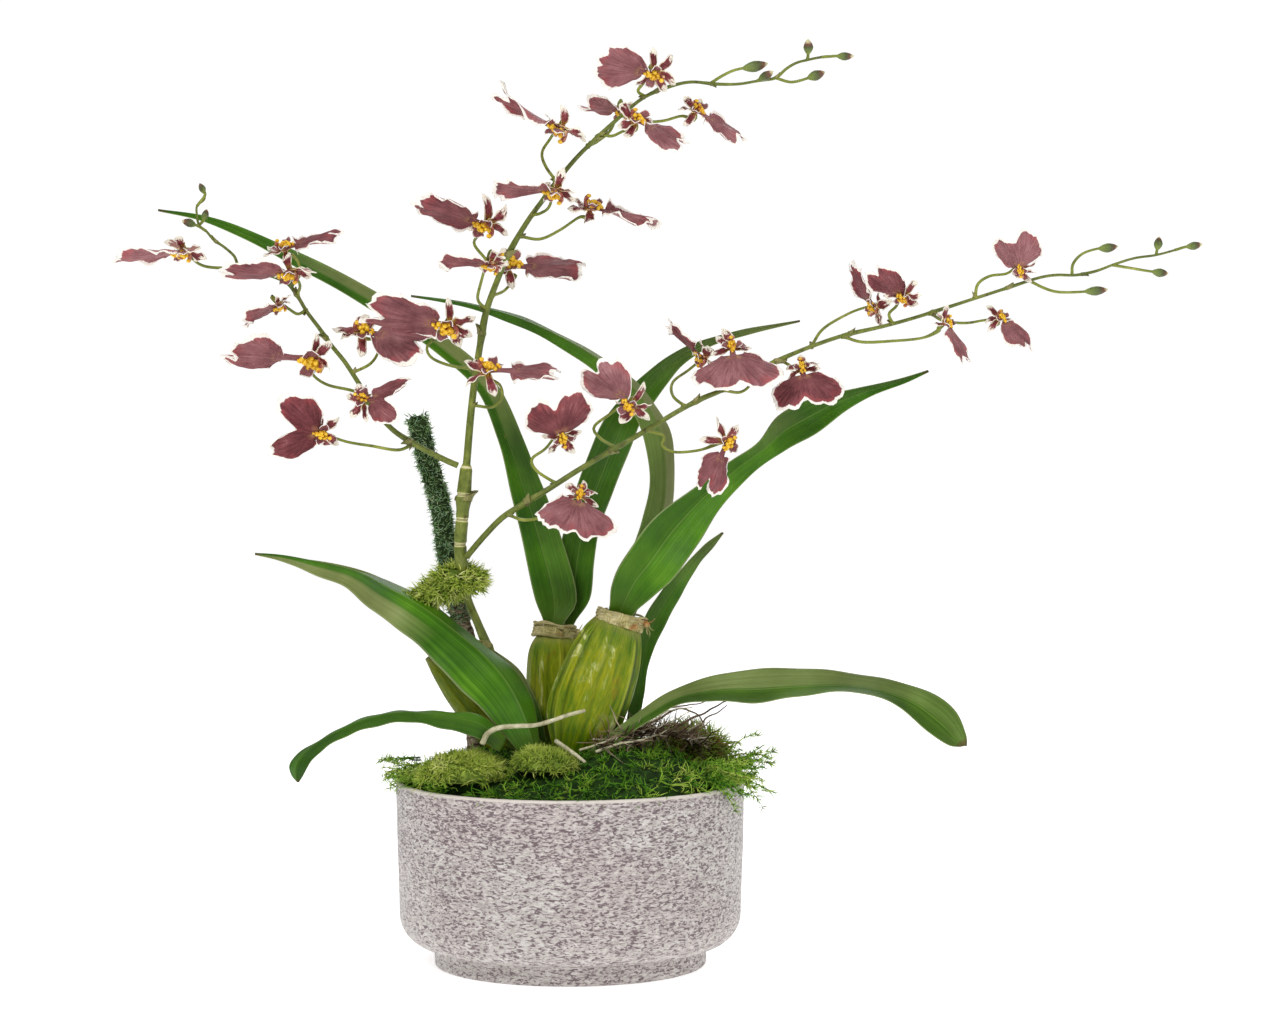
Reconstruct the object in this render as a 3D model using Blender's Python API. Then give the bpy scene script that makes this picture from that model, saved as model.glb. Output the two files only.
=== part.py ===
"""Oncidium orchid in a footed ceramic pot.

Metres, +Z up.  Origin: centre of the pot's flat underside.  +X is to the
viewer's right, +Y points away from the viewer.

The plant is drawn on a front elevation.  at(u, v, y) turns a point of that
elevation (u to the right, v down, one unit = 0.7 mm on the plane of the pot's
axis) and a depth y into a point in space, in perspective from a station point
2.41 m in front of the pot, as a plant is drawn from life.
"""

import bpy
import bmesh
from math import sin, cos, pi, radians, sqrt, atan2
from mathutils import Vector

# ------------------------------------------------------------------ sizes --
UNIT = 0.0007            # one elevation unit on the axis plane
STATION = Vector((0.049, -2.41, 0.4256))
VIEW_F = 3443.0          # units from the station point to the drawing plane
VIEW_PITCH = radians(2.56)
GAP = 0.0004             # clearance between neighbouring solids

POT_RIM_R = 0.1225
POT_RIM_Z = 0.1300
POT_WAIST_R = 0.1200
POT_CORNER_R = 0.0230
POT_FOOT_R = 0.0955
POT_FOOT_Z = 0.0130
POT_WALL = 0.0050
POT_FLOOR_Z = 0.0120
MIX_TOP_Z = 0.1100
MOSS_TOP_Z = 0.1500

STEM_R = 0.0030
PEDICEL_R = 0.0009
LEAF_T = 0.0012

# ---------------------------------------------------------------- helpers --
for o in list(bpy.data.objects):
    bpy.data.objects.remove(o)


def at(u, v, y=0.0):
    """Elevation point (u, v) at depth y, in metres."""
    right = Vector((1, 0, 0))
    fwd = Vector((0, cos(VIEW_PITCH), -sin(VIEW_PITCH)))
    up = Vector((0, sin(VIEW_PITCH), cos(VIEW_PITCH)))
    d = right * ((u - 640.0) / VIEW_F) + up * ((512.0 - v) / VIEW_F) + fwd
    return STATION + d * ((y - STATION.y) / d.y)


def mm(points):
    """Rows of (u, v, depth in mm) as points in space."""
    return [at(u, v, y * 0.001) for u, v, y in points]


def sway(rows, key):
    """Each spray leans: the left one forwards, the right one back, the top forwards."""
    out = []
    for u, v, y in rows:
        if key == "l":
            y -= 50 * min(max((460 - u) / 270, 0), 2) ** 2
        elif key == "r":
            y += 60 * min(max((u - 640) / 550, 0), 2) ** 2
        else:
            y -= 30 * min(max((300 - v) / 240, 0), 2) ** 2
        out.append((u, v, y))
    return out


def spline(pts, n):
    """n + 1 points along a centripetal-like Catmull-Rom curve through pts."""
    pts = [p.copy() for p in pts]
    ext = [pts[0] * 2 - pts[1]] + pts + [pts[-1] * 2 - pts[-2]]
    out = []
    m = len(pts) - 1
    for i in range(n + 1):
        s = i / n * m
        k = min(int(s), m - 1)
        t = s - k
        a, b, c, d = ext[k], ext[k + 1], ext[k + 2], ext[k + 3]
        out.append(0.5 * ((2 * b) + (c - a) * t + (2 * a - 5 * b + 4 * c - d) * t * t
                          + (3 * b - a - 3 * c + d) * t ** 3))
    return out


def resample(pts, n):
    """n + 1 points evenly spaced along a polyline."""
    d = [0.0]
    for a, b in zip(pts, pts[1:]):
        d.append(d[-1] + (b - a).length)
    out, k = [], 0
    for i in range(n + 1):
        s = d[-1] * i / n
        while k < len(pts) - 2 and d[k + 1] < s:
            k += 1
        span = max(d[k + 1] - d[k], 1e-9)
        out.append(pts[k].lerp(pts[k + 1], (s - d[k]) / span))
    return out


def material(name, rgb, rough, metallic=0.0):
    m = bpy.data.materials.new(name)
    m.use_nodes = True
    b = m.node_tree.nodes["Principled BSDF"]
    b.inputs["Base Color"].default_value = (*rgb, 1)
    b.inputs["Roughness"].default_value = rough
    b.inputs["Metallic"].default_value = metallic
    m.diffuse_color = (*rgb, 1)
    return m


MAT = {
    "glaze": material("glaze", (0.62, 0.56, 0.54), 0.45),
    "mix": material("mix", (0.10, 0.06, 0.04), 0.95),
    "moss": material("moss", (0.08, 0.20, 0.03), 0.95),
    "cushion_moss": material("cushion_moss", (0.32, 0.42, 0.12), 0.95),
    "dry": material("dry", (0.20, 0.13, 0.07), 0.95),
    "bark": material("bark", (0.30, 0.27, 0.20), 0.9),
    "leaf": material("leaf", (0.06, 0.19, 0.04), 0.4),
    "bulb": material("bulb", (0.30, 0.38, 0.04), 0.4),
    "sheath": material("sheath", (0.60, 0.50, 0.32), 0.85),
    "stem": material("stem", (0.22, 0.30, 0.07), 0.5),
    "petal": material("petal", (0.24, 0.04, 0.05), 0.6),
    "root": material("root", (0.55, 0.55, 0.42), 0.7),
}


def mesh_object(name, verts, faces, mat, smooth=True):
    me = bpy.data.meshes.new(name)
    me.from_pydata([tuple(v) for v in verts], [], faces)
    bm = bmesh.new()
    bm.from_mesh(me)
    bmesh.ops.recalc_face_normals(bm, faces=bm.faces)
    if bm.calc_volume(signed=True) < 0:
        bmesh.ops.reverse_faces(bm, faces=bm.faces)
    bm.to_mesh(me)
    bm.free()
    if smooth:
        me.shade_smooth()
        me.set_sharp_from_angle(angle=radians(40))
    me.materials.append(MAT[mat])
    ob = bpy.data.objects.new(name, me)
    bpy.context.scene.collection.objects.link(ob)
    return ob


def skin(rings):
    """Vertices and faces of a closed body through rings of equal counts."""
    n = len(rings[0])
    verts = [p for r in rings for p in r]
    faces = []
    for i in range(len(rings) - 1):
        for j in range(n):
            a, b = i * n + j, i * n + (j + 1) % n
            faces.append((a, b, b + n, a + n))
    faces.append(tuple(range(n - 1, -1, -1)))
    last = (len(rings) - 1) * n
    faces.append(tuple(range(last, last + n)))
    return verts, faces


def frames(path, hint=Vector((0, -1, 0))):
    """A turning-free frame (side, up) at each point of a path."""
    out, side = [], None
    for i, p in enumerate(path):
        t = (path[min(i + 1, len(path) - 1)] - path[max(i - 1, 0)]).normalized()
        if side is None:
            side = t.cross(hint)
            if side.length < 1e-3:
                side = t.cross(Vector((1, 0, 0)))
        side = (side - t * side.dot(t)).normalized()
        out.append((side, t.cross(side), t))
    return out


def tube_rings(path, radii, sides, flat=1.0):
    rings = []
    for (a, b, _), p, r in zip(frames(path), path, radii):
        rings.append([p + a * (r * cos(2 * pi * k / sides))
                      + b * (r * flat * sin(2 * pi * k / sides)) for k in range(sides)])
    return rings


def tube(name, path, radii, sides, mat, flat=1.0):
    v, f = skin(tube_rings(path, radii, sides, flat))
    return mesh_object(name, v, f, mat)


def lathe(name, profile, segs, mat):
    """A turned body; the profile runs (r, z) and touches the axis at both ends."""
    verts, faces = [], []
    ids = []
    for r, z in profile:
        if r < 1e-7:
            ids.append([len(verts)])
            verts.append(Vector((0, 0, z)))
        else:
            ids.append(list(range(len(verts), len(verts) + segs)))
            verts += [Vector((r * cos(2 * pi * k / segs), r * sin(2 * pi * k / segs), z))
                      for k in range(segs)]
    for a, b in zip(ids, ids[1:]):
        for k in range(segs):
            q = [a[k % len(a)], a[(k + 1) % segs % len(a)] if len(a) > 1 else a[0],
                 b[(k + 1) % segs % len(b)] if len(b) > 1 else b[0], b[k % len(b)]]
            face = []
            for x in q:
                if x not in face:
                    face.append(x)
            faces.append(tuple(face))
    return mesh_object(name, verts, faces, mat)


def guide(ob):
    """Marks a cutter: it shapes its neighbour and isn't a piece itself."""
    ob.hide_render = True
    ob.display_type = "WIRE"
    return ob


def boolean(ob, other, how):
    m = ob.modifiers.new(how.lower() + "_" + other.name, "BOOLEAN")
    m.operation = how
    m.solver = "EXACT"
    m.object = other


# -------------------------------------------------------------------- pot --
def corner(cx, cz, r, a0, a1, n):
    return [(cx + r * cos(radians(a0 + (a1 - a0) * k / n)),
             cz + r * sin(radians(a0 + (a1 - a0) * k / n))) for k in range(n + 1)]


outer = ([(0.0, 0.0), (POT_FOOT_R - 0.0025, 0.0), (POT_FOOT_R, 0.0025), (POT_FOOT_R, POT_FOOT_Z)]
         + corner(POT_WAIST_R - POT_CORNER_R, POT_FOOT_Z + 0.001 + POT_CORNER_R,
                  POT_CORNER_R, -82, 0, 5)
         + [(POT_RIM_R, POT_RIM_Z - 0.0015), (POT_RIM_R - 0.0012, POT_RIM_Z),
            (POT_RIM_R - POT_WALL + 0.0012, POT_RIM_Z),
            (POT_RIM_R - POT_WALL, POT_RIM_Z - 0.0015)])
inner = [(POT_WAIST_R - POT_WALL, POT_FOOT_Z + 0.030), (POT_WAIST_R - POT_CORNER_R, POT_FOOT_Z + 0.008),
         (POT_FOOT_R - 0.010, POT_FLOOR_Z), (0.0, POT_FLOOR_Z)]
lathe("pot", outer + inner, 44, "glaze")

lathe("potting_mix",
      [(0.0, POT_FLOOR_Z + GAP), (POT_FOOT_R - 0.012, POT_FLOOR_Z + GAP),
       (POT_WAIST_R - POT_CORNER_R - 0.003, POT_FOOT_Z + 0.010),
       (POT_WAIST_R - POT_WALL - 0.0012, POT_FOOT_Z + 0.032),
       (POT_WAIST_R - POT_WALL - 0.0006, MIX_TOP_Z), (0.0, MIX_TOP_Z)], 32, "mix")


# ----------------------------------------------------------------- leaves --
# Each row is one station of a leaf: both margins (u, v, depth mm).  The
# midrib lies off the line between them by fold times the width, so the blade
# is a shallow V as on the living plant.
LEAVES = {
    "leaf_left_arching": dict(fold=0.20, rows=[
        (545, 621, 29, 563, 622, 31), (538, 600, 28, 574, 600, 34), (528, 560, 28, 566, 556, 38),
        (512, 497, 32, 548, 500, 44), (498, 440, 38, 522, 436, 52), (478, 392, 44, 496, 382, 56),
        (436, 352, 50, 450, 340, 60), (395, 325, 54, 404, 309, 64), (352, 298, 58, 354, 279, 66),
        (305, 272, 62, 307, 256, 68), (252, 243, 64, 256, 233, 69), (205, 222, 67, 207, 216, 69),
        (158, 211, 68, 158, 209, 69)]),
    "leaf_back_arching": dict(fold=0.18, rows=[
        (555, 620, 42, 575, 620, 42), (556, 597, 45, 589, 597, 43), (559, 560, 50, 594, 560, 46),
        (565, 525, 56, 600, 527, 50), (576, 489, 62, 613, 492, 56), (590, 450, 68, 629, 452, 62),
        (604, 420, 74, 641, 422, 68), (625, 393, 80, 656, 399, 74), (645, 374, 86, 668, 383, 80),
        (668, 356, 90, 685, 363, 86), (700, 341, 94, 712, 346, 91), (745, 329, 97, 751, 334, 96),
        (800, 320, 99, 800, 322, 99)]),
    "leaf_right_recurved": dict(fold=-0.22, rows=[
        (620, 607, -7, 638, 608, -4), (624, 588, -4, 648, 590, 6), (630, 556, 0, 660, 560, 12),
        (642, 520, 4, 669, 522, 16), (649, 490, 8, 674, 492, 18), (648, 460, 10, 674, 460, 20),
        (641, 430, 12, 670, 430, 22), (626, 403, 16, 655, 405, 26), (603, 379, 20, 632, 378, 30),
        (573, 356, 24, 598, 355, 33), (541, 337, 28, 554, 331, 35), (505, 321, 31, 514, 314, 36),
        (460, 306, 34, 463, 302, 36), (411, 297, 36, 411, 295, 36)]),
    "leaf_right_long": dict(fold=0.20, rows=[
        (612, 607, -20, 634, 610, -19), (615, 586, -25, 652, 594, -20), (625, 560, -28, 674, 576, -20),
        (652, 520, -26, 698, 545, -16), (690, 491, -22, 718, 512, -12), (728, 463, -16, 750, 476, -8),
        (758, 442, -12, 786, 450, -2), (779, 415, -4, 816, 434, 2), (813, 398, 4, 846, 411, 6),
        (857, 388, 8, 874, 395, 8), (898, 379, 10, 906, 383, 10), (928, 370, 12, 929, 372, 12)]),
    "leaf_right_short": dict(fold=0.15, rows=[
        (622, 748, 14, 634, 748, 14), (630, 700, 14, 643, 702, 16), (636, 662, 16, 650, 660, 18),
        (643, 622, 18, 668, 620, 22), (660, 593, 22, 682, 594, 26), (684, 566, 26, 698, 566, 30),
        (704, 545, 30, 713, 548, 32), (722, 532, 34, 724, 533, 34)]),
    "leaf_right_low": dict(fold=0.16, rows=[
        (588, 752, -46, 600, 760, -48), (614, 730, -42, 622, 740, -46), (644, 708, -42, 652, 719, -50),
        (672, 690, -44, 682, 704, -56), (705, 678, -46, 715, 701, -64), (745, 670, -50, 755, 703, -72),
        (795, 668, -54, 795, 697, -78), (845, 672, -60, 835, 692, -80), (890, 680, -66, 872, 695, -84),
        (928, 691, -72, 903, 710, -88), (955, 710, -78, 928, 732, -92), (966, 734, -82, 948, 745, -92),
        (967, 746, -84, 960, 747, -86)]),
    "leaf_left_large": dict(fold=0.26, rows=[
        (540, 748, -44, 522, 756, -54), (534, 705, -34, 500, 730, -56), (518, 674, -22, 478, 706, -56),
        (493, 652, -10, 452, 681, -52), (465, 630, -8, 424, 651, -44), (436, 606, -8, 395, 627, -38),
        (401, 586, -7, 370, 609, -32), (362, 573, -2, 344, 587, -26), (320, 563, -6, 307, 572, -22),
        (285, 557, -10, 281, 561, -18), (255, 553, -14, 255, 555, -15)]),
    "leaf_left_back": dict(fold=-0.16, rows=[
        (548, 752, 2, 534, 762, -3), (541, 714, 8, 524, 731, 2), (531, 689, 11, 508, 705, 7),
        (519, 669, 16, 496, 684, 13), (497, 652, 23, 476, 669, 21), (470, 635, 28, 450, 652, 27),
        (445, 619, 30, 426, 636, 29), (420, 602, 30, 402, 619, 29), (395, 585, 29, 378, 601, 28),
        (364, 571, 27, 350, 584, 26), (326, 562, 25, 318, 570, 24), (286, 557, 23, 285, 559, 23)]),
    "leaf_left_low": dict(fold=0.16, rows=[
        (506, 738, -62, 500, 752, -66), (482, 716, -60, 474, 737, -72), (450, 712, -64, 440, 728, -80),
        (420, 711, -68, 410, 722, -84), (389, 712, -72, 383, 725, -88), (355, 721, -76, 354, 733, -90),
        (325, 737, -80, 330, 745, -92), (303, 750, -82, 315, 757, -92), (290, 763, -84, 308, 767, -92),
        (291, 774, -86, 303, 776, -90), (297, 782, -88, 299, 782, -88)]),
}


def leaf_body(name, spec, n=15, grow=0.0, upto=1.0, mat="leaf"):
    rows = spec["rows"]
    e1 = resample(spline([at(r[0], r[1], r[2] * .001) for r in rows], 60), 60)
    e2 = resample(spline([at(r[3], r[4], r[5] * .001) for r in rows], 60), 60)
    rings = []
    for i in range(n + 1):
        s = (i / n) * upto
        k = min(int(round(s * 60)), 60)
        a, b = e1[k], e2[k]
        mid = (a + b) / 2
        k0, k1 = max(k - 2, 0), min(k + 2, 60)
        t = ((e1[k1] + e2[k1]) - (e1[k0] + e2[k0])).normalized()
        w = b - a
        side = w.normalized()
        nrm = t.cross(side).normalized()
        if grow:
            a, b = a - side * grow, b + side * grow
            mid += t * (-grow if i == 0 else 0)
            a, b = a + t * (-grow if i == 0 else 0), b + t * (-grow if i == 0 else 0)
        mid = mid + nrm * (spec["fold"] * w.length)
        h = nrm * (LEAF_T / 2 + grow)
        thin = nrm * (LEAF_T / 4 + grow)
        rings.append([a + thin, mid + h, b + thin, b - thin, mid - h, a - thin])
    v, f = skin(rings)
    return mesh_object(name, v, f, mat)


for name, spec in LEAVES.items():
    leaf_body(name, spec)


# ------------------------------------------------------------ pseudobulbs --
# Base point, top point, (half width, half depth) along the axis, ribs.
BULBS = {
    "pseudobulb_right": dict(base=(566, 764, -24), top=(619, 622, -13),
                             prof=[(0.0, 7, 7), (0.14, 18, 14), (0.30, 26, 19), (0.50, 27.5, 20),
                                   (0.72, 25.5, 17.5), (0.90, 21, 14), (1.0, 16, 9)]),
    "pseudobulb_left": dict(base=(558, 766, 28), top=(555, 633, 33),
                            prof=[(0.0, 9, 7), (0.12, 16, 11), (0.35, 21, 15), (0.60, 21, 15),
                                  (0.80, 20, 14), (0.92, 17, 12), (1.0, 12, 8)]),
    "pseudobulb_young": dict(base=(516, 762, -4), top=(429, 656, -8),
                             prof=[(0.0, 5, 5), (0.15, 9, 7), (0.40, 11, 8), (0.65, 10, 7),
                                   (0.85, 7, 5), (1.0, 3.5, 2.5)]),
}


def bulb_body(name, spec, grow=0.0, sides=14):
    base, top = mm([spec["base"]])[0], mm([spec["top"]])[0]
    axis = (top - base).normalized()
    across = (Vector((1, 0, 0)) - axis * axis.x).normalized()
    back = axis.cross(across)
    rings = []
    n = len(spec["prof"])
    for i, (s, w, d) in enumerate(spec["prof"]):
        c = base.lerp(top, s) + axis * (-grow if i == 0 else (grow if i == n - 1 else 0))
        rings.append([c + across * ((w * .001 + grow) * cos(2 * pi * k / sides))
                      + back * ((d * .001 + grow) * sin(2 * pi * k / sides)) for k in range(sides)])
    v, f = skin(rings)
    return mesh_object(name, v, f, "bulb")


for name, spec in BULBS.items():
    bulb_body(name, spec)


# Papery cuffs round the leaf bases, standing on the bulbs' tops.
def cuff(name, centre, top, r0, r1, d0, d1, sides=12):
    c0, c1 = mm([centre])[0], mm([top])[0]
    axis = (c1 - c0).normalized()
    across = (Vector((1, 0, 0)) - axis * axis.x).normalized()
    back = axis.cross(across)
    wall = 0.0010
    rings = []
    for c, w, d in ((c0, r0, d0), (c1, r1, d1)):
        rings.append([c + across * (w * cos(2 * pi * k / sides)) + back * (d * sin(2 * pi * k / sides))
                      for k in range(sides)])
    for c, w, d in ((c1, r1 - wall, d1 - wall), (c0, r0 - wall, d0 - wall)):
        rings.append([c + across * (w * cos(2 * pi * k / sides)) + back * (d * sin(2 * pi * k / sides))
                      for k in range(sides)])
    verts = [p for r in rings for p in r]
    faces = []
    for i in range(4):
        for j in range(sides):
            a, b = i * sides + j, i * sides + (j + 1) % sides
            c, d = ((i + 1) % 4) * sides + (j + 1) % sides, ((i + 1) % 4) * sides + j
            faces.append((a, b, c, d))
    return mesh_object(name, verts, faces, "sheath")


cuff("sheath_left", (555, 631.5, 33.5), (558, 616, 35.5), 0.0150, 0.0165, 0.0105, 0.0150)
cuff("sheath_right", (621, 619, -13), (626, 602, -12), 0.0170, 0.0170, 0.0120, 0.0165)


# ---------------------------------------------------------------- flowers --
# Column (u, v, depth mm), the lip's far edge (u, v), +1 or -1 for a lip that
# leans away or towards, roll about the lip's line, lip length and width, mm.
FLOWERS = {
    "flower_m01": (655, 73, -36, 592, 71, -1, 35, 50, 38),
    "flower_m02": (562, 128, -46, 491, 103, -1, 80, 56, 34),
    "flower_m03": (636, 120, -48, 689, 147, -1, 55, 46, 28),
    "flower_m04": (696, 110, -14, 743, 140, -1, 55, 42, 24),
    "flower_m05": (556, 191, -44, 488, 189, -1, 72, 52, 34),
    "flower_m06": (590, 208, -4, 661, 220, -1, 76, 52, 28),
    "flower_m07": (487, 225, -34, 414, 203, -1, 48, 56, 34),
    "flower_m08": (492, 264, -56, 438, 269, -1, 78, 42, 30),
    "flower_m09": (508, 266, 8, 591, 267, -1, 50, 60, 34),
    "flower_m10": (622, 112, 2, 581, 108, -1, 60, 36, 26),
    "flower_m11": (487, 370, -34, 563, 370, -1, 52, 56, 26),
    "flower_m12": (450, 326, -24, 363, 312, -1, 40, 64, 44),
    "flower_l01": (362, 331, 6, 433, 345, -1, 35, 54, 44),
    "flower_l02": (284, 249, 12, 343, 230, -1, 66, 46, 26),
    "flower_l03": (290, 272, -22, 224, 280, -1, 66, 50, 32),
    "flower_l04": (279, 305, -12, 246, 327, -1, 74, 34, 26),
    "flower_l05": (314, 359, -22, 223, 354, -1, 45, 66, 36),
    "flower_l06": (183, 250, 6, 119, 266, -1, 76, 50, 30),
    "flower_l07": (362, 399, -28, 408, 398, -1, 30, 40, 46),
    "flower_l08": (322, 434, -24, 276, 424, -1, 15, 46, 60),
    "flower_r01": (580, 494, -42, 573, 529, -1, 0, 40, 68),
    "flower_r02": (563, 438, -38, 556, 403, -1, 0, 42, 64),
    "flower_r03": (631, 406, -40, 590, 364, -1, 30, 46, 42),
    "flower_r04": (732, 346, -26, 735, 385, -1, 0, 42, 78),
    "flower_r05": (704, 358, 6, 660, 324, 1, 72, 44, 26),
    "flower_r06": (727, 441, -40, 706, 497, -1, 35, 46, 34),
    "flower_r07": (802, 367, -20, 806, 403, -1, 0, 40, 62),
    "flower_r08": (876, 308, 14, 842, 266, 1, 62, 44, 26),
    "flower_r09": (904, 297, -18, 866, 274, -1, 45, 40, 32),
    "flower_r10": (946, 322, -14, 969, 361, -1, 62, 34, 20),
    "flower_r11": (1000, 317, 6, 1029, 349, -1, 45, 34, 24),
    "flower_r12": (1021, 270, -8, 1008, 240, -1, 15, 34, 44),
}


def flower_frame(name):
    """Origin, lip direction, width direction and face normal of a flower."""
    u, v, y, tu, tv, sgn, roll, length, width = FLOWERS[name]
    y = sway([(u, v, y)], name[7])[0][2]
    c = at(u, v, y * .001)
    flat = at(tu, tv, y * .001) - c
    size = length * .001
    if flat.length < size:
        lip = flat + Vector((0, sgn * sqrt(size * size - flat.length_squared), 0))
    else:
        lip = flat * (size / flat.length)
    lip.normalize()
    see = (STATION - c).normalized()
    nrm = see - lip * see.dot(lip)
    if nrm.length < 0.05:
        nrm = Vector((0, 0, 1)) - lip * lip.z
    nrm.normalize()
    wid = nrm.cross(lip).normalized()
    a = radians(roll)
    nrm, wid = nrm * cos(a) + wid * sin(a), wid * cos(a) - nrm * sin(a)
    return c, lip, wid, nrm, size, width * .001


# Outline of a flower seen face on, as (angle from the lip's line in degrees,
# share of the lip's length, lift): lip lobes, petals and sepals.
OUTLINE = [(0, 0.90, -.02), (14, 1.0, .0), (28, 1.0, .0), (42, 0.86, .02), (55, 0.52, .0),
           (68, 0.20, .0), (84, 0.24, .05), (100, 0.44, .12), (116, 0.24, .05), (138, 0.20, .02),
           (158, 0.26, .05), (180, 0.42, .14)]


def flower_body(name):
    c, lip, wid, nrm, size, width = flower_frame(name)
    ring = OUTLINE + [(360 - a, r, z) for a, r, z in OUTLINE[-2:0:-1]]
    wide = width / size / 1.32
    top, bottom = [], []
    for a, r, z in ring:
        x, y = r * cos(radians(a)), r * sin(radians(a))
        if abs(y) > 0.05 and x > 0.1:
            y *= wide
        p = c + lip * (x * size) + wid * (y * size) + nrm * (z * size)
        top.append(p + nrm * 0.0006)
        bottom.append(p - nrm * 0.0006)
    n = len(ring)
    verts = top + bottom + [c + nrm * 0.0050, c - nrm * 0.0018]
    faces = []
    for k in range(n):
        j = (k + 1) % n
        faces += [(k, j, 2 * n), (n + j, n + k, 2 * n + 1), (j, k, n + k, n + j)]
    return mesh_object(name, verts, faces, "petal")




# ------------------------------------------------- flower stems with buds --
MAIN = [(536, 742, -24), (526, 722, -18), (512, 696, -8), (499, 670, 1), (488, 648, 4),
        (477, 622, 1), (467, 597, -7), (462, 570, -11), (460, 545, -13), (462, 518, -14),
        (464, 490, -13), (467, 458, -13), (470, 422, -13), (474, 385, -13), (480, 345, -14),
        (486, 312, -15), (497, 281, -17), (510, 251, -19), (527, 222, -21), (545, 197, -23),
        (561, 176, -24), (579, 155, -25), (600, 135, -26), (622, 115, -26), (643, 98, -25),
        (665, 88, -24), (690, 82, -22), (716, 84, -20), (738, 84, -18), (757, 81, -17),
        (775, 78, -16), (786, 69, -16), (796, 63, -16), (807, 60, -16), (822, 57, -16), (836, 56, -16)]
LEFT = [(463, 468, -13), (445, 460, -16), (425, 450, -19), (409, 441, -20), (393, 430, -18),
        (378, 414, -14), (367, 397, -10), (356, 379, -6), (344, 361, -3), (331, 345, -1),
        (319, 328, 0), (307, 312, 0), (298, 297, 0), (288, 284, 1), (274, 277, 2), (258, 273, 3),
        (240, 267, 4), (234, 256, 5), (224, 247, 6), (214, 240, 7), (206, 231, 8), (199, 225, 8),
        (197, 216, 9), (197, 206, 9), (204, 200, 9), (205, 194, 9)]
RIGHT = [(462, 563, -14), (470, 553, -17), (485, 535, -22), (503, 517, -26), (525, 503, -28),
         (550, 488, -29), (575, 472, -29), (600, 457, -28), (628, 441, -27), (655, 425, -26),
         (680, 410, -25), (703, 398, -24), (720, 391, -22), (742, 379, -18), (766, 366, -14),
         (790, 355, -10), (815, 345, -8), (845, 335, -6), (880, 327, -4), (910, 319, -3),
         (942, 309, -2), (976, 298, -1), (1010, 287, 0), (1038, 278, 0), (1056, 275, 0),
         (1076, 275, 0), (1096, 271, 0), (1115, 264, 0), (1135, 258, 0), (1156, 255, 0),
         (1175, 250, 0), (1185, 247, 0)]

# A flower's stalk: from a point on the stem (u, v, depth) through bends.
STALKS = {
    "m01": [(646, 97, -25), (638, 91, -26), (644, 82, -28)],
    "m02": [(557, 182, -24), (546, 167, -26), (542, 153, -30), (550, 139, -37)],
    "m03": [(601, 134, -26), (612, 136, -30), (624, 131, -36)],
    "m04": [(622, 115, -26), (640, 121, -22), (662, 121, -16), (682, 116, -11)],
    "m05": [(532, 215, -21), (541, 213, -30), (550, 205, -38)],
    "m06": [(519, 236, -20), (540, 239, -14), (560, 230, -8), (580, 217, -4)],
    "m07": [(500, 273, -17), (484, 257, -15), (474, 243, -15), (481, 232, -22)],
    "m08": [(486, 309, -15), (478, 300, -26), (480, 286, -38)],
    "m09": [(492, 296, -16), (505, 290, 0), (516, 276, 14)],
    "m10": [(588, 146, -26), (598, 141, -14), (612, 128, 4)],
    "m11": [(472, 405, -13), (492, 407, -20), (502, 398, -28), (500, 385, -32)],
    "m12": [(477, 369, -13), (452, 366, -12), (432, 358, -12), (427, 347, -14), (436, 337, -18)],
    "l01": [(352, 373, -5), (370, 364, 2), (378, 352, 8), (376, 341, 10)],
    "l02": [(291, 287, 0), (300, 274, 6), (298, 262, 11), (291, 254, 13)],
    "l03": [(297, 295, 0), (300, 286, -10), (296, 277, -18)],
    "l04": [(306, 310, 0), (298, 314, -6), (289, 309, -9)],
    "l05": [(366, 395, -10), (350, 390, -15), (328, 385, -18), (314, 376, -18), (312, 367, -18)],
    "l06": [(240, 268, 4), (222, 268, 6), (204, 266, 8), (192, 258, 9)],
    "l07": [(375, 409, -13), (372, 405, -20)],
    "l08": [(413, 444, -20), (398, 450, -20), (372, 446, -18), (344, 441, -18)],
    "r01": [(507, 514, -27), (524, 520, -26), (546, 516, -24), (566, 505, -30)],
    "r02": [(557, 484, -29), (537, 471, -28), (532, 459, -27), (546, 448, -28)],
    "r03": [(616, 448, -27), (600, 438, -22), (594, 427, -20), (610, 414, -24)],
    "r04": [(722, 390, -22), (741, 392, -14), (752, 380, -10), (744, 361, -14)],
    "r05": [(686, 407, -25), (673, 396, -12), (673, 382, 4), (690, 369, 16)],
    "r06": [(646, 430, -26), (664, 436, -24), (662, 445, -25), (674, 452, -28), (700, 450, -32)],
    "r07": [(780, 360, -12), (791, 366, -8), (798, 370, -8)],
    "r08": [(811, 347, -8), (822, 330, 6), (840, 318, 16), (860, 309, 23)],
    "r09": [(893, 324, -4), (889, 314, -8), (897, 305, -11)],
    "r10": [(842, 336, -6), (862, 342, -4), (892, 341, -4), (922, 338, -4), (938, 331, -6)],
    "r11": [(930, 313, -3), (944, 321, 4), (966, 323, 10), (988, 320, 12)],
    "r12": [(975, 298, -1), (978, 284, -1), (990, 276, 0), (1008, 273, 0)],
}
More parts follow.
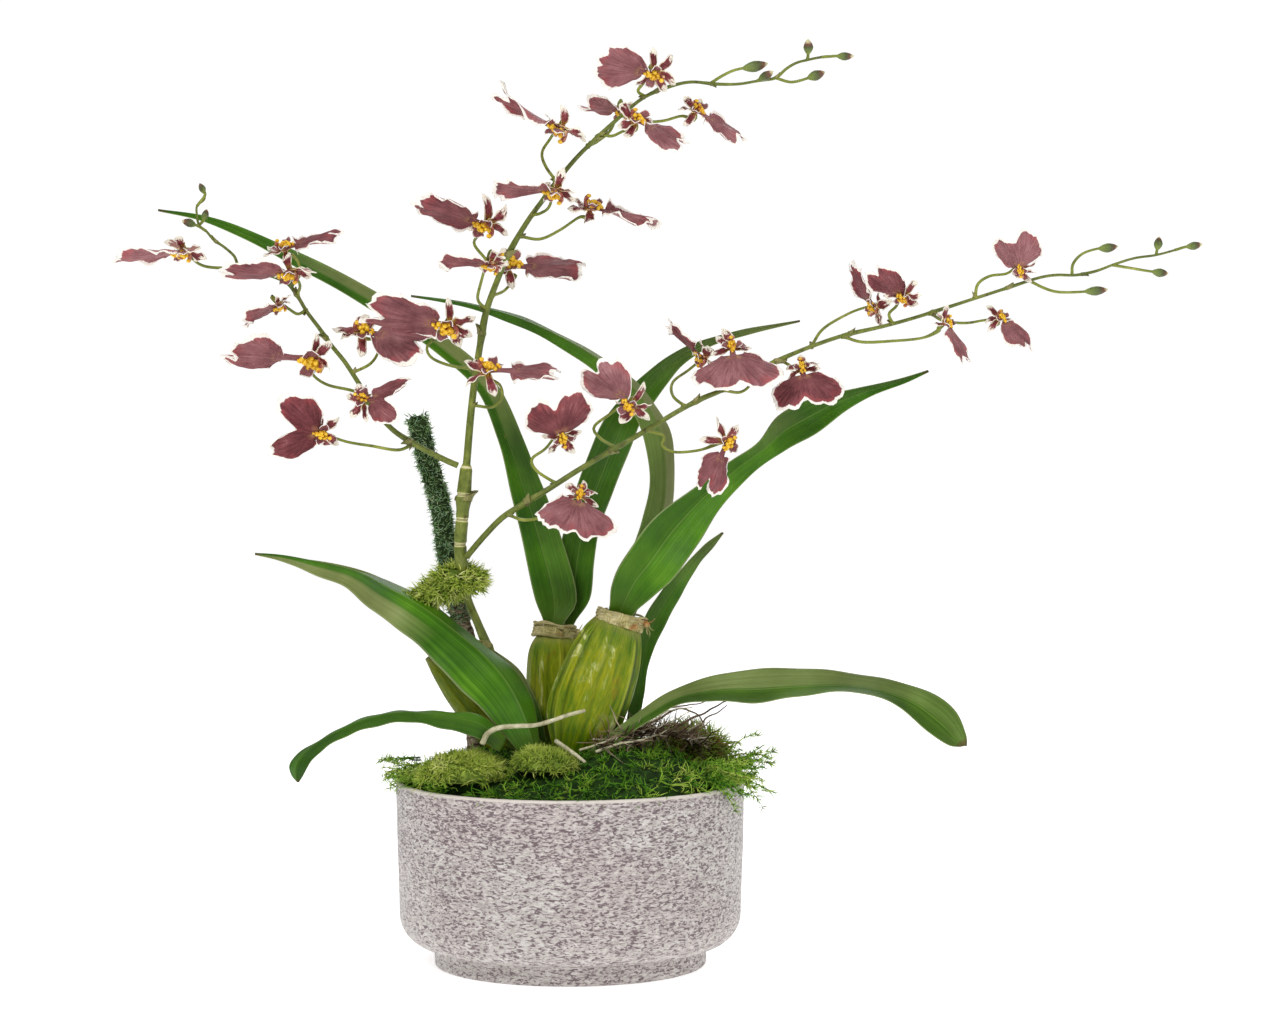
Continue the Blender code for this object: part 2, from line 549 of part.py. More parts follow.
# Buds: stalk from the stem, then the bud's middle; length and radius in mm.
BUDS = {
    "main": [([(711, 83, -20), (722, 76, -19), (735, 70, -18)], (755, 66, -17), 18, 3.9),
             ([(757, 81, -17), (760, 79, -17)], (766, 75.5, -20), 14, 3.2),
             ([(807, 60, -16), (808, 56, -16)], (808, 47, -16), 11, 3.4),
             ([(776, 78, -16), (790, 82, -14), (802, 80, -13)], (816, 75, -13), 13, 3.6),
             ([(822, 57, -16), (836, 56, -16)], (845, 56, -16), 12, 2.9)],
    "left": [([(197, 206, 9), (205, 195, 9)], (202, 188.5, 9), 8, 2.4),
             ([(206, 231, 8), (198, 226, 4)], (189, 223, 2), 12, 3.0),
             ([(199, 225, 8), (203, 221, 10)], (205, 215, 11), 9, 2.5)],
    "right": [([(1030, 281, 0), (1044, 288, -3), (1058, 292, -5), (1078, 292, -5)], (1096, 290.5, -5), 18, 3.4),
              ([(1072, 275, 0), (1073, 264, 2), (1082, 254, 4), (1096, 249, 4)], (1108, 247.5, 4), 15, 3.4),
              ([(1156, 255, 0), (1157, 250, 0)], (1158, 243.5, 0), 10, 3.2),
              ([(1112, 265, 0), (1130, 268, 4), (1148, 271, 6)], (1160, 272.5, 6), 13, 3.2),
              ([(1175, 250, 0), (1185, 247, 0)], (1194, 245.5, 0), 13, 3.0)],
}


def taper(n, r0, r1):
    return [r0 + (r1 - r0) * k / n for k in range(n + 1)]


def bud_body(name, key, stalk, mid, length, radius):
    root, c = mm(sway([stalk[-1], mid], key))
    t = (c - root).normalized()
    half = length * .0005
    prof = [(-1.0, .22), (-.6, .72), (0, 1.0), (.55, .72), (1.0, .16)]
    return tube(name, [c + t * (half * s) for s, _ in prof], [radius * .001 * r for _, r in prof], 6, "stem")


def stalk_end(key):
    c, lip, wid, nrm, size, width = flower_frame("flower_" + key)
    return c - nrm * 0.0080, c - nrm * 0.0024


def stalk_body(name, key, grow=0.0):
    a, b = stalk_end(key)
    path = resample(spline(mm(sway(STALKS[key], key[0])) + [a, b], 40), 7)
    return tube(name, path, [r + grow for r in taper(7, 0.0013, PEDICEL_R)], 5, "stem")


def spike(name, rows, n, r0, r1, keys, buds):
    """One stem with its flower stalks and buds as a single grown piece."""
    key = keys[0][0]
    path = resample(spline(mm(sway(rows, key)), 160), n)
    body = tube(name, path, taper(n, r0, r1), 7, "stem")
    for i, one in enumerate(keys):
        boolean(body, guide(stalk_body(f"{name}_stalk_{i}", one)), "UNION")
    for i, (stalk, mid, length, radius) in enumerate(buds):
        pts = mm(sway(stalk + [mid], key))
        limb = tube(f"{name}_budstalk_{i}", resample(spline(pts, 30), 4), taper(4, 0.0011, 0.0008), 5, "stem")
        boolean(body, guide(limb), "UNION")
        boolean(body, guide(bud_body(f"{name}_bud_{i}", key, stalk, mid, length, radius)), "UNION")
    return body


ALL = sorted(STALKS)
spike("flower_stem_main", MAIN, 42, STEM_R * 1.15, 0.0009, [k for k in ALL if k[0] == "m"], BUDS["main"])
spike("flower_stem_left", [(457.6, 465.5, -14.4)] + LEFT[1:], 36, STEM_R * 0.72, 0.0007,
      [k for k in ALL if k[0] == "l"], BUDS["left"])
spike("flower_stem_right", [(466.2, 557, -18.0)] + RIGHT[2:], 36, STEM_R * 0.72, 0.0008,
      [k for k in ALL if k[0] == "r"], BUDS["right"])

# Petals are notched where the flower's own stalk passes them.
PASSING = ("l03", "l04", "l05", "l06", "l08", "m02", "m05", "m12", "m03", "m10", "r03", "r05", "r08", "r09", "r12")
for name in FLOWERS:
    body = flower_body(name)
    if name[-3:] in PASSING:
        boolean(body, guide(stalk_body("cut_" + name, name[-3:], GAP)), "DIFFERENCE")


# -------------------------------------------------------------- moss pole --
POLE = [(479, 770, 18), (473, 700, 15), (465, 640, 12), (456, 597, 9), (448, 556, 7), (442, 515, 6),
        (433, 478, 6), (424, 448, 6), (417, 416, 6)]
POLE_R = 0.0078


def pole_body(name, grow=0.0):
    path = resample(spline(mm(POLE), 60), 12)
    if grow:
        path = [path[0] - (path[1] - path[0]).normalized() * grow] + path[1:]
    return tube(name, path, [(POLE_R * (0.92 + 0.08 * sin(2.3 * k))) + grow for k in range(13)], 9, "bark")


pole_body("moss_pole")


# Moss wound round the pole and the stem, tying one to the other.
def tie_body():
    c = mm([(450, 584, -1)])[0]
    rings = []
    n = 12
    prof = [(-1.0, .42), (-.55, .86), (0.0, 1.0), (.5, .84), (1.0, .40)]
    for s, r in prof:
        rings.append([c + Vector((0.0225 * r * cos(2 * pi * k / n) + 0.004 * s,
                                  0.0200 * r * sin(2 * pi * k / n), 0.0170 * s)) for k in range(n)])
    v, f = skin(rings)
    return mesh_object("moss_tie", v, f, "cushion_moss")


def stem_core(name, rows, r0, r1, n, grow, sides=7, u0=0.0, u1=1.0):
    path = resample(spline(mm(sway(rows, "m")), 160), n)
    a, b = int(u0 * n), int(u1 * n)
    radii = taper(n, r0, r1)
    return tube(name, path[a:b + 1], [r + grow for r in radii[a:b + 1]], sides, "stem")


tie = tie_body()
boolean(tie, guide(pole_body("cut_pole_a", GAP)), "DIFFERENCE")
boolean(tie, guide(leaf_body("cut_leaf_a", LEAVES["leaf_left_large"], grow=GAP)), "DIFFERENCE")
boolean(tie, guide(stem_core("cut_stem_a", MAIN, STEM_R * 1.15, 0.0009, 42, GAP, u0=0.0, u1=0.5)), "DIFFERENCE")

# --------------------------------------------- roots, rhizome and the moss --
RHIZOME = [(488, 784, 12), (520, 783, 8), (556, 782, 4), (594, 783, 0), (628, 785, -2)]


def rhizome_body(name, grow=0.0):
    path = [Vector((p.x, p.y, 0.1146)) for p in mm(RHIZOME)]
    path = resample(spline(path, 40), 8)
    return tube(name, path, [(0.0036 + 0.0006 * (k % 2)) + grow for k in range(9)], 7, "root")


rhizome_body("rhizome")

ROOTS = {
    "aerial_root_long": ([(482, 744, -72), (488, 733, -73), (500, 727.5, -74), (518, 726, -74), (536, 725, -73),
                          (552, 720.5, -70), (568, 715, -66), (585, 710.5, -62)], 0.0019, 0.0012),
    "aerial_root_short": ([(556, 741, -58), (566, 748, -66), (576, 755, -74), (585, 762, -80)], 0.0017, 0.0011),
}


def root_body(name, grow=0.0):
    rows, r0, r1 = ROOTS[name.replace("cut_", "")]
    return tube(name, resample(spline(mm(rows), 60), 10), [r + grow for r in taper(10, r0, r1)], 7, "root")


for name in ROOTS:
    root_body(name)


def mound(name, centre, rx, ry, h, mat, grow=0.0, sides=16, rough=0.0, seed=0.0, below=0.010, tilt=0.0):
    """A low cushion: a dome on a short skirt, its outline a little uneven."""
    cx, cy, cz = centre
    rings = []
    prof = [(-below, .86), (0.0, 1.0), (0.34 * h, .97), (0.66 * h, .80), (0.90 * h, .48), (1.0 * h, .12)]
    for z, r in prof:
        ring = []
        for k in range(sides):
            a = 2 * pi * k / sides
            wob = 1 + rough * (sin(3 * a + seed) * .6 + sin(5 * a + 2 * seed) * .4)
            x, y = (rx * r * wob + grow) * cos(a), (ry * r * wob + grow) * sin(a)
            up = z + (grow if z > 0 else (-grow if z < 0 else 0)) + tilt * x
            ring.append(Vector((cx + x, cy + y, cz + up)))
        rings.append(ring)
    v, f = skin(rings)
    return mesh_object(name, v, f, mat)


def on_moss(u, v, y):
    p = at(u, v, y * .001)
    return p


CUSHIONS = {
    "cushion_moss_left": dict(centre=(-0.0715, -0.0640, 0.1325), rx=0.0300, ry=0.0290, h=0.0180, seed=0.6,
                              rough=0.05, below=0.0012, mat="cushion_moss"),
    "cushion_moss_middle": dict(centre=(-0.0170, -0.0700, 0.1395), rx=0.0205, ry=0.0190, h=0.0140, seed=1.9,
                                rough=0.05, mat="cushion_moss"),
    "dried_moss_tuft": dict(centre=(0.0820, 0.0260, 0.1400), rx=0.0300, ry=0.0320, h=0.0270, seed=2.7,
                            rough=0.08, mat="dry"),
}
for name, spec in CUSHIONS.items():
    mound(name, **spec)


def sheet_moss():
    """A mat of moss over the whole top, thickest round the bulbs."""
    rings = []
    n = 28
    prof = [(0.1130, MIX_TOP_Z + GAP), (0.1155, 0.1240), (0.1163, 0.1292), (0.1100, 0.1352),
            (0.0860, 0.1420), (0.0560, 0.1470), (0.0240, MOSS_TOP_Z)]
    for i, (r, z) in enumerate(prof):
        ring = []
        for k in range(n):
            a = 2 * pi * k / n
            lift = 0.0 if i < 3 else 0.0030 * sin(3 * a + 1.0 + i) + 0.0035 * cos(a - 0.5)
            ring.append(Vector((r * cos(a), r * sin(a), z + lift)))
        rings.append(ring)
    v, f = skin(rings)
    return mesh_object("sheet_moss", v, f, "moss")


moss = sheet_moss()
for name, spec in CUSHIONS.items():
    boolean(moss, guide(mound("cut_" + name, grow=GAP, **spec)), "DIFFERENCE")
for name, spec in BULBS.items():
    boolean(moss, guide(bulb_body("cut_" + name, spec, GAP)), "DIFFERENCE")
for name in ("leaf_right_short", "leaf_right_low", "leaf_left_large", "leaf_left_back", "leaf_left_low"):
    boolean(moss, guide(leaf_body("cut_" + name, LEAVES[name], grow=GAP, n=6, upto=0.4)), "DIFFERENCE")
for name in ROOTS:
    boolean(moss, guide(root_body("cut_" + name, GAP)), "DIFFERENCE")
boolean(moss, guide(pole_body("cut_pole_b", GAP)), "DIFFERENCE")
boolean(moss, guide(rhizome_body("cut_rhizome", GAP)), "DIFFERENCE")
boolean(moss, guide(stem_core("cut_stem_b", MAIN, STEM_R * 1.15, 0.0009, 42, GAP, u0=0.0, u1=0.2)), "DIFFERENCE")
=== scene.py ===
"""The looks of the potted oncidium: fine petals, leaves, stems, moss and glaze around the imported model."""
import math

import bpy
import numpy as np
from mathutils import Matrix, Vector
from mathutils import noise as mnoise


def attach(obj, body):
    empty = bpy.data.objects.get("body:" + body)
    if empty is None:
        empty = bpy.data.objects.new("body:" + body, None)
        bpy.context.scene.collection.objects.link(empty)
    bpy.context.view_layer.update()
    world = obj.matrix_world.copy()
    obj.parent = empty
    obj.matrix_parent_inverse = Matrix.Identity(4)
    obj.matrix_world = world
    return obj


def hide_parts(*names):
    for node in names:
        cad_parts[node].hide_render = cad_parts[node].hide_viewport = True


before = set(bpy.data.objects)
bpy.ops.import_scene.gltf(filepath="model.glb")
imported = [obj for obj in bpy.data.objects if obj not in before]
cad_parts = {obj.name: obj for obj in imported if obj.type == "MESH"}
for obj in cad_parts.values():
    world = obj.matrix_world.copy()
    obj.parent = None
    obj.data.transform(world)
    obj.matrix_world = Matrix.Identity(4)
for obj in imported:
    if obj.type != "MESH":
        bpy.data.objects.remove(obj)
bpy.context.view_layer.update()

PI = math.pi

# ------------------------------------------------------------- elevation --
# The same drawing plane as the part's: (u, v) on a front elevation of
# 1280 x 1024, and a depth y, give a point in space.
STATION = np.array([0.049, -2.41, 0.4256])
VIEW_F = 3443.0
PITCH = math.radians(2.56)
FWD = np.array([0, math.cos(PITCH), -math.sin(PITCH)])
UPV = np.array([0, math.sin(PITCH), math.cos(PITCH)])
RIGHTV = np.array([1.0, 0, 0])


def at(u, v, y):
    u, v, y = np.broadcast_arrays(np.asarray(u, float), np.asarray(v, float), np.asarray(y, float))
    d = (RIGHTV * ((u - 640.0) / VIEW_F)[..., None] + UPV * ((512.0 - v) / VIEW_F)[..., None] + FWD)
    return STATION + d * ((y - STATION[1]) / d[..., 1])[..., None]


def mm(rows):
    a = np.asarray(rows, float)
    return at(a[:, 0], a[:, 1], a[:, 2] * .001)


def sway(rows, key):
    """Each spray leans: the left one forwards, the right one back, the top forwards."""
    a = np.array(rows, float).reshape(-1, 3)
    if key == "l":
        a[:, 2] -= 50 * np.clip((460 - a[:, 0]) / 270, 0, 2) ** 2
    elif key == "r":
        a[:, 2] += 60 * np.clip((a[:, 0] - 640) / 550, 0, 2) ** 2
    else:
        a[:, 2] -= 30 * np.clip((300 - a[:, 1]) / 240, 0, 2) ** 2
    return a


def unit(v):
    v = np.asarray(v, float)
    return v / np.maximum(np.linalg.norm(v, axis=-1, keepdims=True), 1e-12)


def spline(pts, n):
    """n + 1 points along a Catmull-Rom curve."""
    pts = np.asarray(pts, float)
    ext = np.vstack([pts[0] * 2 - pts[1], pts, pts[-1] * 2 - pts[-2]])
    m = len(pts) - 1
    s = np.linspace(0, m, n + 1)
    k = np.minimum(s.astype(int), m - 1)
    t = (s - k)[:, None]
    a, b, c, d = ext[k], ext[k + 1], ext[k + 2], ext[k + 3]
    return 0.5 * (2 * b + (c - a) * t + (2 * a - 5 * b + 4 * c - d) * t ** 2 + (3 * b - a - 3 * c + d) * t ** 3)


def resample(pts, n):
    pts = np.asarray(pts, float)
    d = np.concatenate([[0], np.cumsum(np.linalg.norm(np.diff(pts, axis=0), axis=1))])
    s = np.linspace(0, d[-1], n + 1)
    return np.stack([np.interp(s, d, pts[:, i]) for i in range(pts.shape[1])], 1)


def smooth(a, b, x):
    t = np.clip((x - a) / (b - a), 0, 1)
    return t * t * (3 - 2 * t)


def nz(p, scale=1.0, off=0.0):
    """Smooth noise at each row of p."""
    p = np.asarray(p, float).reshape(-1, 3) * scale + off
    return np.array([mnoise.noise(Vector(q)) for q in p])


# --------------------------------------------------------------- geometry --
class Geo:
    """A mesh being gathered: vertices, faces, material numbers and vertex values."""

    def __init__(self, *names):
        self.v, self.f, self.m, self.n = [], [], [], 0
        self.a = {k: [] for k in names}

    def add(self, verts, faces, mat=0, **vals):
        verts = np.asarray(verts, float).reshape(-1, 3)
        self.v.append(verts)
        for f in faces:
            f = np.asarray(f)
            self.f.append((f + self.n))
            self.m.append(np.full(len(f), mat))
        for k in self.a:
            self.a[k].append(np.broadcast_to(np.asarray(vals.get(k, 0.0), float).ravel()
                                             if np.ndim(vals.get(k, 0.0)) else float(vals.get(k, 0.0)), (len(verts),)))
        self.n += len(verts)

    def object(self, name, mats, smooth_shade=True, angle=None):
        verts = np.vstack(self.v)
        sizes = np.concatenate([np.full(len(f), f.shape[1]) for f in self.f])
        loops = np.concatenate([f.ravel() for f in self.f])
        me = bpy.data.meshes.new(name)
        me.vertices.add(len(verts))
        me.vertices.foreach_set("co", verts.astype(np.float32).ravel())
        me.loops.add(len(loops))
        me.loops.foreach_set("vertex_index", loops.astype(np.int32))
        me.polygons.add(len(sizes))
        starts = np.concatenate([[0], np.cumsum(sizes)[:-1]])
        me.polygons.foreach_set("loop_start", starts.astype(np.int32))
        me.polygons.foreach_set("loop_total", sizes.astype(np.int32))
        me.polygons.foreach_set("material_index", np.concatenate(self.m).astype(np.int32))
        me.update(calc_edges=True)
        me.validate()
        for k, parts in self.a.items():
            at_ = me.attributes.new(k, "FLOAT", "POINT")
            at_.data.foreach_set("value", np.concatenate(parts).astype(np.float32))
        for m in mats:
            me.materials.append(m)
        if smooth_shade:
            me.shade_smooth()
            if angle:
                me.set_sharp_from_angle(angle=math.radians(angle))
        ob = bpy.data.objects.new(name, me)
        bpy.context.scene.collection.objects.link(ob)
        return ob


def grid_faces(m, n, wrap_n=False, wrap_m=False, flip=False):
    i = np.arange(m if wrap_m else m - 1)
    j = np.arange(n if wrap_n else n - 1)
    i, j = np.meshgrid(i, j, indexing="ij")
    a = i * n + j
    b = i * n + (j + 1) % n
    c = ((i + 1) % m) * n + (j + 1) % n
    d = ((i + 1) % m) * n + j
    q = np.stack([a, b, c, d], -1).reshape(-1, 4)
    return q[:, ::-1] if flip else q


def grid_normals(P):
    du = np.gradient(P, axis=0)
    dv = np.gradient(P, axis=1)
    return unit(np.cross(du, dv))


def sheet(geo, P, thick, mat=0, sign=1.0, **vals):
    """A thin closed solid round the grid P; thick may vary over it."""
    m, n = P.shape[:2]
    N = grid_normals(P) * sign
    thick = np.broadcast_to(np.asarray(thick, float), (m, n))[..., None]
    top, bot = P + N * thick / 2, P - N * thick / 2
    verts = np.concatenate([top.reshape(-1, 3), bot.reshape(-1, 3)])
    k = m * n
    ft = grid_faces(m, n, flip=sign < 0)
    fb = grid_faces(m, n, flip=sign > 0) + k
    ring = np.concatenate([np.arange(n), np.arange(1, m) * n + n - 1,
                           (m - 1) * n + np.arange(n - 2, -1, -1), np.arange(m - 2, 0, -1) * n])
    nxt = np.roll(ring, -1)
    side = np.stack([ring, ring + k, nxt + k, nxt], 1)
    if sign < 0:
        side = side[:, ::-1]
    face = np.concatenate([np.ones(k), -np.ones(k)])
    full = {a: np.tile(np.broadcast_to(np.asarray(x, float), (m, n)).ravel(), 2) for a, x in vals.items()}
    if "face" in geo.a:
        full["face"] = face
    geo.add(verts, [ft, fb, side], mat, **full)
    return verts


def frames(path, hint=(0, -1, 0)):
    path = np.asarray(path, float)
    T = unit(np.gradient(path, axis=0))
    S = np.zeros_like(T)
    s = np.cross(T[0], hint)
    if np.linalg.norm(s) < 1e-3:
        s = np.cross(T[0], (1, 0, 0))
    for i, t in enumerate(T):
        s = s - t * np.dot(s, t)
        s = s / max(np.linalg.norm(s), 1e-9)
        S[i] = s
    return S, np.cross(T, S), T


def tube(geo, path, radii, sides, mat=0, flat=1.0, bumps=None, **vals):
    """A closed tube; radii per ring, bumps an optional (ring, side) factor."""
    path = np.asarray(path, float)
    k = len(path)
    S, U, T = frames(path)
    a = np.linspace(0, 2 * PI, sides, endpoint=False)
    r = np.broadcast_to(np.asarray(radii, float), (k,))[:, None] * np.ones(sides)
    if bumps is not None:
        r = r * bumps
    P = path[:, None] + S[:, None] * (r * np.cos(a))[..., None] + U[:, None] * (r * flat * np.sin(a))[..., None]
    verts = np.concatenate([P.reshape(-1, 3), path[:1], path[-1:]])
    q = grid_faces(k, sides, wrap_n=True)
    j = np.arange(sides)
    c0, c1 = k * sides, k * sides + 1
    cap0 = np.stack([np.full(sides, c0), (j + 1) % sides, j], 1)
    e = (k - 1) * sides
    cap1 = np.stack([np.full(sides, c1), e + j, e + (j + 1) % sides], 1)
    full = {}
    for key, x in vals.items():
        x = np.asarray(x, float)
        if x.ndim == 1:
            full[key] = np.concatenate([np.repeat(x, sides), [x[0], x[-1]]])
        elif x.ndim == 2:
            full[key] = np.concatenate([x.ravel(), [x[0].mean(), x[-1].mean()]])
        else:
            full[key] = float(x)
    if "along" in geo.a and "along" not in full:
        full["along"] = np.concatenate([np.repeat(np.linspace(0, 1, k), sides), [0, 1]])
    if "across" in geo.a and "across" not in full:
        full["across"] = np.concatenate([np.tile(np.linspace(-1, 1, sides), k), [0, 0]])
    geo.add(verts, [q, cap0, cap1], mat, **full)


def blob(geo, c, ax, ay, az, nu=10, nv=6, mat=0, wob=0.0, **vals):
    """An ellipsoid with half-axes ax, ay, az (vectors)."""
    th = np.linspace(0, PI, nv + 1)[1:-1]
    ph = np.linspace(0, 2 * PI, nu, endpoint=False)
    T, Ph = np.meshgrid(th, ph, indexing="ij")
    k = 1 + wob * np.sin(3 * Ph + 5 * T)
    P = (np.asarray(c) + (np.sin(T) * np.cos(Ph) * k)[..., None] * ax + (np.sin(T) * np.sin(Ph) * k)[..., None] * ay
         + (np.cos(T))[..., None] * az)
    verts = np.concatenate([P.reshape(-1, 3), [c + az], [c - az]])
    q = grid_faces(nv - 1, nu, wrap_n=True, flip=True)
    j = np.arange(nu)
    n = (nv - 1) * nu
    top = np.stack([np.full(nu, n), j, (j + 1) % nu], 1)
    e = (nv - 2) * nu
    bot = np.stack([np.full(nu, n + 1), e + (j + 1) % nu, e + j], 1)
    full = dict(vals)
    if "along" in geo.a and "along" not in full:
        full["along"] = np.concatenate([(0.5 + 0.5 * np.cos(T)).ravel(), [1, 0]])
    geo.add(verts, [q, top, bot], mat, **full)


def strands(geo, base, direction, length, radius, droop, curl, rng, segs=4, mat=0, lean=None, **vals):
    """Many fine tapering three-sided stalks at once."""
    n = len(base)
    d = unit(direction)
    side = unit(np.cross(d, rng.normal(size=(n, 3))))
    pos, pts = base.copy(), [base.copy()]
    step = (length / segs)[:, None]
    for i in range(segs):
        d = unit(d + side * curl * rng.normal(0.6, 0.6, (n, 1)) + np.array([0, 0, -1.0]) * droop
                 + rng.normal(0, 0.18, (n, 3)))
        pos = pos + d * step
        pts.append(pos.copy())
    pts = np.stack(pts, 1)
    T = unit(np.gradient(pts, axis=1))
    A = unit(np.cross(T, rng.normal(size=(n, 1, 3))))
    B = np.cross(T, A)
    taper = np.array([0.75, 1.0, 0.85, 0.6, 0.12]) if segs == 4 else np.linspace(1, .12, segs + 1)
    ang = np.array([0, 2 * PI / 3, 4 * PI / 3])
    r = radius[:, None] * taper
    V = (pts[:, :, None] + A[:, :, None] * (r[..., None] * np.cos(ang))[..., None]
         + B[:, :, None] * (r[..., None] * np.sin(ang))[..., None])
    k = (segs + 1) * 3
    q = grid_faces(segs + 1, 3, wrap_n=True)
    F = (q[None] + (np.arange(n) * k)[:, None, None]).reshape(-1, 4)
    ends = np.array([[2, 1, 0], [k - 3, k - 2, k - 1]])
    E = (ends[None] + (np.arange(n) * k)[:, None, None]).reshape(-1, 3)
    full = {a: np.repeat(np.broadcast_to(np.asarray(x, float), (n,)), k) for a, x in vals.items()}
    if "along" in geo.a:
        full["along"] = np.tile(np.repeat(np.linspace(0, 1, segs + 1), 3), n)
    geo.add(V.reshape(-1, 3), [F, E], mat, **full)


# -------------------------------------------------------------- materials --
def lin(h):
    h = h.lstrip("#")
    out = []
    for i in (0, 2, 4):
        c = int(h[i:i + 2], 16) / 255
        out.append(c / 12.92 if c <= 0.04045 else ((c + 0.055) / 1.055) ** 2.4)
    return (*out, 1.0)


class Mat:
    """Short names for a material's nodes."""

    def __init__(self, name, rough=0.5, specular=0.5, **sockets):
        self.m = bpy.data.materials.new(name)
        self.m.use_nodes = True
        self.t = self.m.node_tree
        self.b = self.t.nodes["Principled BSDF"]
        self.b.inputs["Roughness"].default_value = rough
        self.b.inputs["Specular IOR Level"].default_value = specular
        for k, v in sockets.items():
            self.b.inputs[k.replace("_", " ")].default_value = v

    def node(self, kind, **props):
        n = self.t.nodes.new(kind)
        for k, v in props.items():
            setattr(n, k, v)
        return n

    def put(self, socket, x):
        if hasattr(x, "is_output"):
            self.t.links.new(x, socket)
        elif x is not None:
            socket.default_value = x

    def attr(self, name):
        return self.node("ShaderNodeAttribute", attribute_name=name).outputs["Fac"]

    def coords(self, scale=(1, 1, 1), kind="Object"):
        tc = self.node("ShaderNodeTexCoord")
        mp = self.node("ShaderNodeMapping")
        self.t.links.new(tc.outputs[kind], mp.inputs["Vector"])
        mp.inputs["Scale"].default_value = scale
        return mp.outputs["Vector"]

    def vec(self, x, y, z=0.0):
        n = self.node("ShaderNodeCombineXYZ")
        for s, v in zip(n.inputs, (x, y, z)):
            self.put(s, v)
        return n.outputs["Vector"]

    def noise(self, scale, vec=None, detail=3.0, rough=0.55, dist=0.0):
        n = self.node("ShaderNodeTexNoise")
        n.inputs["Scale"].default_value = scale
        n.inputs["Detail"].default_value = detail
        n.inputs["Roughness"].default_value = rough
        n.inputs["Distortion"].default_value = dist
        self.put(n.inputs["Vector"], vec if vec is not None else self.coords())
        return n.outputs["Fac"]

    def voronoi(self, scale, vec=None, feature="F1", rand=1.0):
        n = self.node("ShaderNodeTexVoronoi", feature=feature)
        n.inputs["Scale"].default_value = scale
        n.inputs["Randomness"].default_value = rand
        self.put(n.inputs["Vector"], vec if vec is not None else self.coords())
        return n.outputs["Distance"]

    def math(self, op, a, b=None, c=None, clamp=False):
        n = self.node("ShaderNodeMath", operation=op, use_clamp=clamp)
        for s, v in zip(n.inputs, (a, b, c)):
            self.put(s, v)
        return n.outputs[0]

    def span(self, x, a, b, lo=0.0, hi=1.0):
        n = self.node("ShaderNodeMapRange", interpolation_type="SMOOTHSTEP")
        for s, v in zip(n.inputs, (x, a, b, lo, hi)):
            self.put(s, v)
        return n.outputs[0]

    def ramp(self, fac, stops, interp="LINEAR"):
        n = self.node("ShaderNodeValToRGB")
        r = n.color_ramp
        r.interpolation = interp
        while len(r.elements) < len(stops):
            r.elements.new(0.5)
        for e, (p, col) in zip(r.elements, stops):
            e.position, e.color = p, col if not isinstance(col, str) else lin(col)
        self.put(n.inputs["Fac"], fac)
        return n.outputs["Color"]

    def mix(self, fac, a, b, blend="MIX"):
        n = self.node("ShaderNodeMix", data_type="RGBA", blend_type=blend)
        self.put(n.inputs["Factor"], fac)
        self.put(n.inputs[6], lin(a) if isinstance(a, str) else a)
        self.put(n.inputs[7], lin(b) if isinstance(b, str) else b)
        return n.outputs[2]

    def color(self, c):
        self.put(self.b.inputs["Base Color"], lin(c) if isinstance(c, str) else c)

    def rough(self, x):
        self.put(self.b.inputs["Roughness"], x)

    def bump(self, height, distance, strength=1.0):
        n = self.node("ShaderNodeBump")
        n.inputs["Distance"].default_value = distance
        n.inputs["Strength"].default_value = strength
        self.put(n.inputs["Height"], height)
        self.t.links.new(n.outputs["Normal"], self.b.inputs["Normal"])


def lip_material():
    m = Mat("lip_skin", 0.6, 0.25)
    edge, ang, face, rand, tint = m.attr("along"), m.attr("across"), m.attr("face"), m.attr("rand"), m.attr("tint")
    streak = m.noise(1.0, m.vec(m.math("MULTIPLY", ang, 30.0), m.math("MULTIPLY", edge, 2.4), rand), 3, .62)
    soft = m.noise(70.0, m.coords(), 3, .55)
    fine = m.noise(420.0, m.coords(), 2, .5)
    k = m.math("ADD", m.math("MULTIPLY", streak, 0.55), m.math("MULTIPLY", soft, 0.50))
    k = m.math("ADD", k, m.math("MULTIPLY", m.math("SUBTRACT", fine, 0.5), 0.12))
    pale = m.ramp(k, [(0.28, "#5e363a"), (0.46, "#88565a"), (0.62, "#a47274"), (0.80, "#c49c9a")])
    dark = m.ramp(k, [(0.28, "#3a1116"), (0.46, "#5e242a"), (0.62, "#7c3c40"), (0.80, "#a06468")])
    body = m.mix(tint, pale, dark)
    under = m.ramp(k, [(0.28, "#7c5054"), (0.50, "#a47678"), (0.75, "#c8a6a4")])
    col = m.mix(m.span(face, -0.5, 0.5), m.mix(m.math("MULTIPLY", tint, 0.6), under, dark), body)
    patch = m.noise(120.0, m.coords(), 2, .5)
    e = m.math("ADD", edge, m.math("MULTIPLY", m.math("SUBTRACT", streak, 0.5), 0.25))
    red = m.math("MULTIPLY", m.span(e, 0.66, 0.92), m.span(patch, 0.40, 0.64, 0.0, 0.55))
    col = m.mix(red, col, "#a8484c")
    col = m.mix(m.span(e, 0.0, 0.20, 0.85, 0.0), col, m.mix(m.span(streak, 0.4, 0.6), "#c9a070", "#8a4038"))
    wide = m.noise(1.0, m.vec(m.math("MULTIPLY", ang, 2.6), rand, 0.0), 3, .6)
    margin = m.math("ADD", edge, m.math("MULTIPLY", m.math("SUBTRACT", streak, 0.5), 0.07))
    margin = m.math("ADD", margin, m.math("MULTIPLY", m.math("SUBTRACT", wide, 0.5), 0.22))
    col = m.mix(m.span(margin, 0.895, 0.925), col, "#f7f1e8")
    m.color(col)
    m.bump(m.math("ADD", m.noise(1.0, m.vec(m.math("MULTIPLY", ang, 46.0), m.math("MULTIPLY", edge, 2.0), rand), 2, .5),
                  m.math("MULTIPLY", fine, 0.4)), 0.0008, 0.75)
    return m.m


